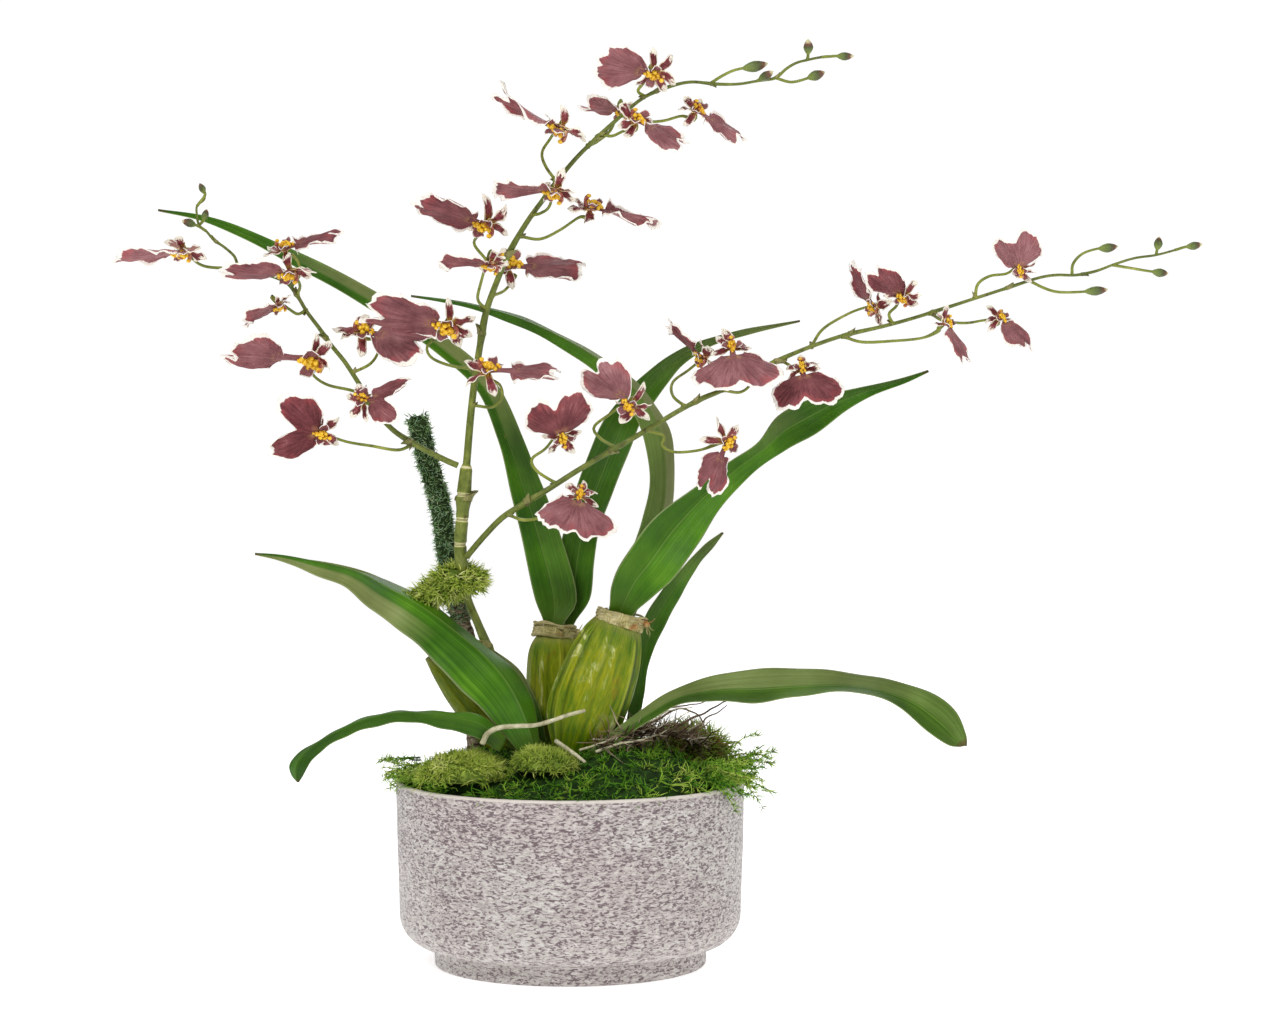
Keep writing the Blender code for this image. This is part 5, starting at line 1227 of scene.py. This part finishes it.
def spike(node, key, rows, r0, r1, n, joints, first=None):
    g = Geo("along", "across", "face", "kind")
    pts = mm(sway(rows, key))
    if first is not None:
        pts = np.vstack([mm(sway([first], key)), pts])
    path = resample(spline(pts, 600), n)
    s = np.linspace(0, 1, n + 1)
    r = r0 + (r1 - r0) * s
    kind = np.zeros(n + 1)
    if key == "m":
        # the stout jointed length between the moss and the first branch
        z = path[:, 2]
        z_of = [mm([(460, v, -13)])[0, 2] for v in (566, 544, 520, 495, 468)]
        low, high = z_of[0], z_of[-1]
        stout = smooth(low - .004, low + .001, z) * (1 - smooth(high - .0005, high + .003, z))
        r = 0.0028 + (0.0009 - 0.0028) * smooth(.20, 1.0, s) + .0006 * (1 - smooth(0, .2, s))
        r = r + stout * 0.0017
        for c in z_of[1:]:
            r = r - 0.00075 * np.exp(-((z - c) / .0006) ** 2) + .0003 * np.exp(-((z - c - .0014) / .0009) ** 2)
            kind = np.maximum(kind, 4 * np.exp(-((z - c) / .0007) ** 4))
    for j in joints:
        r = r * (1 + 0.20 * np.exp(-((s - j) / 0.006) ** 2) + 0.12 * np.exp(-((s - j - .012) / 0.012) ** 2))
    a = np.linspace(0, 2 * PI, 14, endpoint=False)
    bumps = 1 + 0.035 * np.cos(5 * a)[None] * np.ones((n + 1, 1))
    tube(g, path, r, 14, 0, bumps=bumps, kind=kind, along=s * 30)
    S, U, T = frames(path)
    for k, j in enumerate(joints):
        i = int(j * n)
        out = S[i] * (1 if k % 2 else -1) * .8 + U[i] * (.5 if k % 3 else -.5)
        bract(g, path[i], T[i], unit(out), 0.010 - 0.006 * j if key == "m" else 0.006, r[i])
    for fl in [f for f in FLOWERS if f[7] == key]:
        c, L, W, N, size, width = flower_frame(fl)
        st = np.vstack([mm(sway(STALKS[fl[7:]], key)), c - N * 0.0080, c - N * 0.0022])
        p = resample(spline(st, 120), 30)
        q = np.linspace(0, 1, 31)
        rad = (0.00115 + (PEDICEL_R - 0.00115) * q) * (1 + 0.9 * smooth(0.72, 0.95, q) - 0.35 * smooth(0.95, 1, q))
        rad = rad * (1 + .9 * np.exp(-(q / .03) ** 2))
        tube(g, p, rad, 8, 0, kind=1, along=q * 4)
        t0 = unit(p[2] - p[0])
        out = unit(np.cross(t0, [0.3, 1, 0.2]))
        bract(g, p[0], t0, out, 0.0045, 0.0014)
    for stalk, mid, length, radius in BUDS[key]:
        st = np.vstack([mm(sway(stalk, key)), mm(sway([mid], key))])
        p = resample(spline(st, 80), 16)
        tube(g, p, np.linspace(.0011, .0009, 17), 8, 0, kind=1, along=np.linspace(0, 2, 17))
        bud(g, st[-2], st[-1], length, radius)
    return place(g.object(node + "_green", [STEM]), node)


spike("flower_stem_main", "m", MAIN, STEM_R * 1.15, 0.0009, 300, (0.12, 0.29, 0.47, 0.56, 0.64, 0.72, 0.80, .86, .93))
spike("flower_stem_left", "l", LEFT[1:], STEM_R * 0.72, 0.0007, 200, (0.13, 0.30, 0.47, 0.60, 0.72, 0.85),
      (457.6, 465.5, -14.4))
spike("flower_stem_right", "r", RIGHT[2:], STEM_R * 0.72, 0.0008, 260, (0.10, 0.22, 0.34, 0.45, 0.55, 0.66, 0.76, 0.86),
      (466.2, 557, -18.0))

# ------------------------------------------------------------------- pole --
POLE = [(479, 770, 18), (473, 700, 15), (465, 640, 12), (456, 597, 9), (448, 556, 7), (442, 515, 6),
        (433, 478, 6), (424, 448, 6), (417, 416, 6)]


def pole():
    n, sides = 190, 40
    path = resample(spline(mm(POLE), 300), n)
    s = np.linspace(0, 1, n + 1)
    a = np.linspace(0, 2 * PI, sides, endpoint=False)
    S, A = np.meshgrid(s, a, indexing="ij")
    q = np.stack([np.cos(A + 9 * S) * 1.5, np.sin(A + 9 * S) * 1.5, S * 40], -1).reshape(-1, 3)
    w = nz(q, 1.0).reshape(S.shape)
    w2 = nz(q, 2.6, 4.0).reshape(S.shape)
    g = Geo("along", "across", "rand")
    lump = 1 + 0.22 * w + 0.14 * w2
    tube(g, path, 0.0066 * (1 - smooth(.985, 1, s) * .35), sides, 0, bumps=lump, across=A / PI - 1)
    rg = np.random.default_rng(11)
    Sx, U, T = frames(path)
    k = 2900
    i = rg.integers(int(n * .43), n + 1, k)
    j = rg.integers(0, sides, k)
    th = a[j]
    out = Sx[i] * np.cos(th)[:, None] + U[i] * np.sin(th)[:, None]
    base = path[i] + out * (0.0062 * lump[i, j])[:, None] + T[i] * rg.uniform(-.001, .001, (k, 1))
    turn = np.cross(T[i], out)
    d = out * .55 + turn * rg.choice([-1, 1], (k, 1)) * rg.uniform(.3, 1.1, (k, 1)) + T[i] * rg.normal(.15, .5, (k, 1))
    patch = .5 + .9 * nz(base, 130.0, 7.0)
    strands(g, base, d, rg.uniform(.0026, .0055, k), rg.uniform(.00036, .00066, k), 0.10, 0.35, rg, segs=3, mat=1,
            rand=np.clip(rg.uniform(0, .55, k) + .5 * patch, 0, 1))
    return place(g.object("moss_pole_bark", [BARK, LICHEN]), "moss_pole")


pole()


def tie():
    """Moss wound round the pole and the stem, with loose ends to the left."""
    rg = np.random.default_rng(12)
    g = Geo("along", "across", "rand")
    lumps = (((458, 580, -2), (.0185, .0165, .0115), 1560, (.1, 0, .05)),
             ((441, 590, -6), (.0130, .0120, .0085), 720, (-.6, -.1, -.1)),
             ((421, 597, -14), (.0130, .0060, .0058), 600, (-.9, -.2, -.15)))
    for c, size, n, pull in lumps:
        c = mm([c])[0]
        size = np.array(size)
        nu, nv = 48, 24
        th = np.linspace(0, PI, nv + 1)[1:-1]
        ph = np.linspace(0, 2 * PI, nu, endpoint=False)
        T, Ph = np.meshgrid(th, ph, indexing="ij")
        D = np.stack([np.sin(T) * np.cos(Ph), np.sin(T) * np.sin(Ph), np.cos(T)], -1)
        k = 0.84 + 0.20 * nz(D.reshape(-1, 3), 3.0, size[0] * 900).reshape(T.shape)
        P = c + D * size * k[..., None]
        g.add(P.reshape(-1, 3), [grid_faces(nv - 1, nu, wrap_n=True, flip=True),
                                 np.array([np.arange(nu)]), np.array([(nv - 2) * nu + np.arange(nu)[::-1]])], 0, rand=.5)
        tufts = n // 6
        d0 = unit(rg.normal(size=(tufts, 3)) * np.array([1, 1, .8]))
        b0 = c + d0 * size * rg.uniform(.80, .98, (tufts, 1))
        lean = unit(d0 * np.array([1, 1, .5]) + np.array(pull) + rg.normal(0, .45, (tufts, 3)) * np.array([1, 1, .6]))
        tone = np.clip(rg.uniform(.1, .95, tufts), 0, 1)
        i = np.repeat(np.arange(tufts), 6)
        base = b0[i] + rg.normal(0, .0007, (len(i), 3))
        d = lean[i] + rg.normal(0, .38, (len(i), 3))
        strands(g, base, d, rg.uniform(.0045, .0095, len(i)), rg.uniform(.00042, .00076, len(i)), 0.04, .16, rg, segs=3, mat=1,
                rand=np.clip(tone[i] + rg.normal(0, .08, len(i)), 0, 1))
    return place(g.object("moss_tie_clump", [PALEBED, PALE]), "moss_tie")


tie()

# ------------------------------------------------------- roots and twigs --
ROOTS = {
    "aerial_root_long": ([(482, 744, -72), (488, 733, -73), (500, 727.5, -74), (518, 726, -74), (536, 725, -73),
                          (552, 720.5, -70), (568, 715, -66), (585, 710.5, -62)], 0.0019, 0.0012),
    "aerial_root_short": ([(556, 741, -58), (566, 748, -66), (576, 755, -74), (585, 762, -80)], 0.0017, 0.0011),
}
for name, (rows, r0, r1) in ROOTS.items():
    g = Geo("along", "across", "kind")
    n = 60
    path = resample(spline(mm(rows), 200), n)
    b = 1 + 0.14 * nz(path, 220.0)[:, None] * np.ones((1, 12)) + 0.05 * np.cos(np.linspace(0, 2 * PI, 12, endpoint=False) * 3)[None]
    tube(g, path, np.linspace(r0, r1, n + 1), 12, 0, bumps=b, kind=0)
    place(g.object(name + "_pale", [ROOT]), name)


# ------------------------------------------------------------------- moss --
def moss_height(x, y):
    r = np.hypot(x, y)
    a = np.arctan2(y, x)
    z = np.interp(r, [0, .024, .056, .086, .110, .1163, .1185], [.1510, .1500, .1470, .1420, .1352, .1292, .1270])
    lift = 0.0030 * np.sin(3 * a + 4.0) + 0.0035 * np.cos(a - 0.5)
    return (z + lift * (1 - smooth(.108, .118, r)) + 0.0062 * (1 - smooth(.060, .104, r))
            + 0.0045 * np.exp(-((x + .078) ** 2 + (y + .045) ** 2) / .032 ** 2) * (1 - smooth(.104, .117, r)))


CUSHIONS = {
    "cushion_moss_left": dict(c=(-0.0715, -0.0640, 0.1390), rx=0.0305, ry=0.0290, h=0.0195, seed=0.6, rough=0.05),
    "cushion_moss_middle": dict(c=(-0.0170, -0.0680, 0.1460), rx=0.0215, ry=0.0190, h=0.0140, seed=1.9, rough=0.05),
    "dried_moss_tuft": dict(c=(0.0820, 0.0260, 0.1400), rx=0.0310, ry=0.0330, h=0.0240, seed=2.7, rough=0.08),
}


def cushion_z(x, y, s, swell=1.0):
    """Height of a cushion's skin above its centre, or -1 outside it."""
    cx, cy, cz = s["c"]
    q = np.hypot((x - cx) / (s["rx"] * swell), (y - cy) / (s["ry"] * swell))
    z = s["h"] * np.sqrt(np.clip(1 - q ** 2.2, 0, 1))
    return np.where(q < 1, cz + z, -1.0)


def bumpy(X, Y, seed=0.0):
    q = np.stack([X, Y, np.zeros_like(X)], -1).reshape(-1, 3)
    return (0.0026 * nz(q, 52.0, seed) + 0.0022 * nz(q, 120.0, 3.0 + seed) + 0.0012 * nz(q, 260.0, 5.0 + seed)).reshape(X.shape)


def tuft_set(g, b0, n0, per, lens, rad, rg, tone, spread=.55, droop=.12, curl=.35, mat=1, segs=3):
    """Little sprays of strands, each spray with its own colour."""
    i = np.repeat(np.arange(len(b0)), per)
    k = len(i)
    base = b0[i] + rg.normal(0, .0009, (k, 3)) * np.array([1, 1, .4])
    d = n0[i] + rg.normal(0, spread, (k, 3))
    strands(g, base, d, rg.uniform(*lens, k), rg.uniform(*rad, k), droop, curl, rg, segs=segs, mat=mat,
            rand=np.clip(tone[i] + rg.normal(0, .07, k), 0, 1))


def moss_bed():
    g = Geo("along", "across", "rand")
    nr, na = 60, 190
    r = np.linspace(0.0005, 0.1168, nr)
    a = np.linspace(0, 2 * PI, na, endpoint=False)
    R, A = np.meshgrid(r, a, indexing="ij")
    X, Y = R * np.cos(A), R * np.sin(A)
    Z = moss_height(X, Y) - 0.0024 + bumpy(X, Y) * smooth(.1168, .104, R)
    top = np.stack([X, Y, Z], -1)
    low = np.stack([X[-1] * .985, Y[-1] * .985, np.full(na, MIX_TOP_Z + 0.001)], -1)
    verts = np.concatenate([top.reshape(-1, 3), low])
    f = grid_faces(nr, na, wrap_n=True)
    j = np.arange(na)
    e = (nr - 1) * na
    skirt = np.stack([e + j, e + (j + 1) % na, nr * na + (j + 1) % na, nr * na + j], 1)
    g.add(verts, [f, skirt[:, ::-1], np.array([nr * na + j[::-1]]), np.array([j])], 0, rand=.4)
    rg = np.random.default_rng(21)
    n = 1150
    rr = 0.1185 * np.sqrt(rg.uniform(0.02, 1, n))
    aa = rg.uniform(0, 2 * PI, n)
    x, y = rr * np.cos(aa), rr * np.sin(aa)
    keep = np.ones(n, bool)
    for c in CUSHIONS.values():
        cx, cy, _ = c["c"]
        keep &= np.hypot((x - cx) / c["rx"], (y - cy) / c["ry"]) > 0.90
    x, y, rr, aa = x[keep], y[keep], rr[keep], aa[keep]
    n = len(x)
    z = moss_height(x, y) - 0.0022 + bumpy(x, y) * smooth(.1168, .104, rr)
    b0 = np.stack([x, y, z], 1)
    outw = np.stack([np.cos(aa), np.sin(aa), np.zeros(n)], 1)
    rim = smooth(.098, .118, rr)[:, None]
    n0 = np.array([0, 0, 1.0]) * rg.uniform(.15, .8, (n, 1)) + rg.normal(0, .55, (n, 3)) * np.array([1, 1, .2]) + outw * rim * .6
    patch = .5 + 1.1 * nz(b0, 38.0, 9.0)
    right = smooth(.02, .10, x)
    tone = np.clip(rg.uniform(0, .38, n) + .42 * patch + .16 * right * rg.uniform(0, 1.6, n), 0, 1)
    tuft_set(g, b0, n0, 6, (.0045, .0105), (.00034, .00070), rg, tone, .62, .16, .50)
    return place(g.object("sheet_moss_mat", [MOSSBED, MOSS]), "sheet_moss")


moss_bed()


def rim_moss():
    """Wisps that lie over the rim, most of them at the right and the left."""
    g = Geo("along", "across", "rand")
    rg = np.random.default_rng(41)
    m = 200
    k1, k2 = int(m * .50), int(m * .22)
    ar = np.concatenate([rg.normal(-0.25, .38, k1), rg.normal(PI + .35, .30, k2), rg.uniform(0, 2 * PI, m - k1 - k2)])
    rr = rg.uniform(.108, .1165, m)
    b0 = np.stack([rr * np.cos(ar), rr * np.sin(ar), moss_height(rr * np.cos(ar), rr * np.sin(ar)) + .0005], 1)
    n0 = np.stack([np.cos(ar), np.sin(ar), rg.uniform(.1, .8, m)], 1) + rg.normal(0, .30, (m, 3))
    tuft_set(g, b0, n0, 4, (.006, .014), (.00030, .00052), rg, rg.uniform(.25, .95, m), .38, .14, .30, segs=4, mat=0)
    # longer sprays with side shoots
    for _ in range(34):
        ang = rg.normal(-0.12, .22) if rg.random() < .72 else rg.normal(PI + .3, .2)
        p = np.array([.112 * math.cos(ang), .112 * math.sin(ang), .1345])
        d = unit(np.array([math.cos(ang), math.sin(ang), rg.uniform(.0, .7)]) + rg.normal(0, .25, 3))
        pts = [p]
        for _ in range(5):
            d = unit(d + rg.normal(0, .22, 3) + np.array([0, 0, -.06]))
            p = p + d * rg.uniform(.0030, .0052)
            pts.append(p)
        pts = np.array(pts)
        tube(g, spline(pts, 10), np.linspace(.0006, .0002, 11), 4, 0, rand=rg.uniform(.4, .9))
        tuft_set(g, pts[1:], np.repeat((pts[-1:] - pts[:1]) * 20, 5, 0), 5, (.003, .0065), (.0003, .0005), rg,
                 np.full(5, rg.uniform(.35, .95)), .60, .05, .25, segs=3, mat=0)
    for k in range(30):
        right = k % 4 > 0
        ang = rg.uniform(-.62, .22) if right else rg.uniform(PI - .1, PI + .75)
        p = np.array([.106 * math.cos(ang), .106 * math.sin(ang), rg.uniform(.137, .146)])
        d = unit(np.array([math.cos(ang), math.sin(ang), rg.uniform(-.15, .45)]))
        pts = [p]
        for _ in range(7):
            d = unit(d + rg.normal(0, .17, 3) + np.array([0, 0, -.05]))
            p = p + d * (rg.uniform(.0040, .0072) if right else rg.uniform(.0030, .0048))
            pts.append(p)
        pts = np.array(pts)
        tone = rg.uniform(.25, .95)
        tube(g, spline(pts, 16), np.linspace(.00065, .0002, 17), 4, 0, rand=tone)
        tuft_set(g, pts[1:], np.repeat((pts[-1:] - pts[:1]) * 20, 7, 0), 6, (.0035, .0080), (.00028, .00050), rg,
                 np.full(7, tone), .62, .05, .30, segs=3, mat=0)
    ob = g.object("rim_moss_wisps", [MOSS])
    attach(ob, "root")


rim_moss()


def cushion(name, n, lens, rad, seed, up, swirl_by=2.2, droop=.10, curl=.30, spread=.42, segs=3):
    c = CUSHIONS[name]
    cx, cy, cz = c["c"]
    g = Geo("along", "across", "rand", "kind")
    nr, na = 30, 84
    q = np.linspace(0.01, 1, nr)
    a = np.linspace(0, 2 * PI, na, endpoint=False)
    Q, A = np.meshgrid(q, a, indexing="ij")
    wob = 1 + c["rough"] * (np.sin(3 * A + c["seed"]) * .6 + np.sin(5 * A + 2 * c["seed"]) * .4)
    X, Y = cx + c["rx"] * .93 * Q * wob * np.cos(A), cy + c["ry"] * .93 * Q * wob * np.sin(A)
    Z = cz + c["h"] * .82 * np.sqrt(np.clip(1 - Q ** 2.2, 0, 1)) + .9 * bumpy(X, Y, seed * .3) * (1 - Q ** 4)
    low = np.stack([X[-1], Y[-1], np.full(na, cz - .0012)], -1)
    verts = np.concatenate([np.stack([X, Y, Z], -1).reshape(-1, 3), low])
    f = grid_faces(nr, na, wrap_n=True)
    j = np.arange(na)
    e = (nr - 1) * na
    skirt = np.stack([e + j, e + (j + 1) % na, nr * na + (j + 1) % na, nr * na + j], 1)
    g.add(verts, [f, skirt[:, ::-1], np.array([nr * na + j[::-1]]), np.array([j])], 0, rand=.4)
    rg = np.random.default_rng(seed)
    qq = np.sqrt(rg.uniform(0, 1, n)) * 1.02
    aa = rg.uniform(0, 2 * PI, n)
    x, y = cx + c["rx"] * .95 * qq * np.cos(aa), cy + c["ry"] * .95 * qq * np.sin(aa)
    z = cz + c["h"] * .82 * np.sqrt(np.clip(1 - qq ** 2.2, 0, 1)) - .0006 + .9 * bumpy(x, y, seed * .3) * np.clip(1 - qq ** 4, 0, 1)
    nrm = unit(np.stack([np.cos(aa) * qq, np.sin(aa) * qq, 1.25 - qq], 1))
    swirl = np.stack([nz(np.stack([x, y, z], 1), 60.0, 11.0), nz(np.stack([x, y, z], 1), 60.0, 17.0), np.zeros(n)], 1) * swirl_by
    b0 = np.stack([x, y, z], 1)
    patch = 0.5 + 1.0 * nz(b0, 70.0, 2.0)
    tone = np.clip(rg.uniform(0, .45, n) + .5 * patch, 0, 1)
    tuft_set(g, b0, nrm * up + swirl, 6, lens, rad, rg, tone, spread, droop, curl, segs=segs)
    return g, c, rg


for name, n, seed in (("cushion_moss_left", 620, 31), ("cushion_moss_middle", 380, 32)):
    g, c, rg = cushion(name, n, (.0036, .0078), (.00032, .00058), seed, .45, 2.6, .12, .60, .60)
    place(g.object(name + "_fine", [PALEBED, PALE]), name)

g, c, rg = cushion("dried_moss_tuft", 430, (.008, .019), (.00028, .00054), 33, .34, 2.6, .14, .55, .55, 4)
# twigs through the tuft
TWIGS = [[(579, 751, -60), (596, 744, -52), (618, 737, -44), (650, 722, -30), (676, 708, -20), (693, 708, -16)],
         [(596, 752, -56), (618, 744, -50), (640, 741, -44), (668, 730, -34)],
         [(634, 719, 0), (655, 708, 4), (688, 705, 8), (712, 700, 14)],
         [(640, 731, -20), (662, 716, -14), (684, 709, -8), (700, 716, -4), (706, 728, 0)],
         [(612, 742, -46), (640, 725, -36), (660, 727, -30), (690, 712, -20)],
         [(660, 738, -28), (690, 720, -20), (720, 704, -10), (735, 698, -4)],
         [(690, 735, -10), (712, 715, 0), (728, 706, 6)]]
for i, rows in enumerate(TWIGS):
    path = resample(spline(mm(rows), 80), 26)
    path = path + np.stack([nz(path, 120.0, i), nz(path, 120.0, i + 5), nz(path, 120.0, i + 9)], 1) * .0016
    tube(g, path, np.linspace(.0011, .0004, 27) * (1.0 if i % 2 else .8), 7, 2, kind=0 if i in (0, 1, 4) else 1)
place(g.object("dried_moss_tuft_wild", [BROWNBED, BROWN, ROOT]), "dried_moss_tuft")


def peat():
    """Dark and grey fibres between the right bulb and the tuft."""
    g = Geo("along", "across", "rand")
    rg = np.random.default_rng(51)
    n = 330
    u = rg.uniform(596, 700, n)
    f = (u - 596) / 104
    v = 748 - 34 * f + rg.normal(0, 8, n) * (.5 + f * .6)
    y = -48 + 42 * f + rg.normal(0, 7, n)
    base = at(u, v, y * .001)
    base[:, 2] = np.clip(base[:, 2], moss_height(base[:, 0], base[:, 1]) - .002, moss_height(base[:, 0], base[:, 1]) + .012)
    d = np.stack([rg.normal(.7, .75, n), rg.normal(.25, .7, n), rg.normal(.28, .45, n)], 1)
    strands(g, base, d, rg.uniform(.010, .026, n), rg.uniform(.00030, .00070, n), .05, .28, rg, mat=0,
            rand=np.clip(rg.beta(1.4, 1.8, n) + .35 * (rg.random(n) < .22), 0, 1), segs=4)
    ob = g.object("peat_fibre_bundle", [FIBRE])
    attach(ob, "root")


peat()

# nodes that stay as modelled, out of sight under the moss
for node, m in (("potting_mix", CHIPS), ("rhizome", ROOT)):
    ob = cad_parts[node]
    ob.data.materials.clear()
    ob.data.materials.append(m)

# ------------------------------------------------------------- the studio --
floor = bpy.data.meshes.new("floor")
d = 9.0
floor.from_pydata([(-d, -d, 0), (d, -d, 0), (d, d, 0), (-d, d, 0)], [], [(0, 1, 2, 3)])
fm = Mat("pale_floor", 0.7, 0.1, Emission_Strength=0.62)
fm.color(fm.mix(fm.noise(3.0), "#f4f4f4", "#f8f8f8"))
fm.b.inputs["Emission Color"].default_value = (1, 1, 1, 1)
floor.materials.append(fm.m)
floor = bpy.data.objects.new("studio_floor", floor)
bpy.context.scene.collection.objects.link(floor)

world = bpy.data.worlds.new("studio")
world.use_nodes = True
wt = world.node_tree
bg = wt.nodes["Background"]
bg.inputs["Color"].default_value = (1, 1, 1, 1)
bg.inputs["Strength"].default_value = 0.42
seen = wt.nodes.new("ShaderNodeBackground")
seen.inputs["Color"].default_value = (1, 1, 1, 1)
seen.inputs["Strength"].default_value = 1.05
pathn = wt.nodes.new("ShaderNodeLightPath")
mixn = wt.nodes.new("ShaderNodeMixShader")
wt.links.new(pathn.outputs["Is Camera Ray"], mixn.inputs["Fac"])
wt.links.new(bg.outputs[0], mixn.inputs[1])
wt.links.new(seen.outputs[0], mixn.inputs[2])
wt.links.new(mixn.outputs[0], wt.nodes["World Output"].inputs["Surface"])
bpy.context.scene.world = world


def area(name, loc, aim, size, power):
    li = bpy.data.lights.new(name, "AREA")
    li.shape, li.size, li.energy = "DISK", size, power
    ob = bpy.data.objects.new(name, li)
    ob.location = loc
    ob.rotation_mode = "QUATERNION"
    ob.rotation_quaternion = (Vector(aim) - Vector(loc)).to_track_quat("-Z", "Y")
    bpy.context.scene.collection.objects.link(ob)


area("key", (-1.0, -1.7, 2.2), (0, 0, .35), .9, 34)
area("fill", (1.7, -1.4, 1.2), (0, 0, .35), 1.4, 12)
area("back", (0.3, 1.8, 1.9), (0, 0, .35), 1.2, 16)

cam = bpy.data.cameras.new("camera")
cam.sensor_width = 36.0
cam.lens = VIEW_F * 36.0 / 1280.0
cam.clip_start, cam.clip_end = 0.05, 60
camera = bpy.data.objects.new("camera", cam)
camera.location = STATION
camera.rotation_euler = (math.radians(90) - PITCH, 0, 0)
bpy.context.scene.collection.objects.link(camera)
bpy.context.scene.camera = camera
bpy.context.scene.view_settings.view_transform = "Standard"
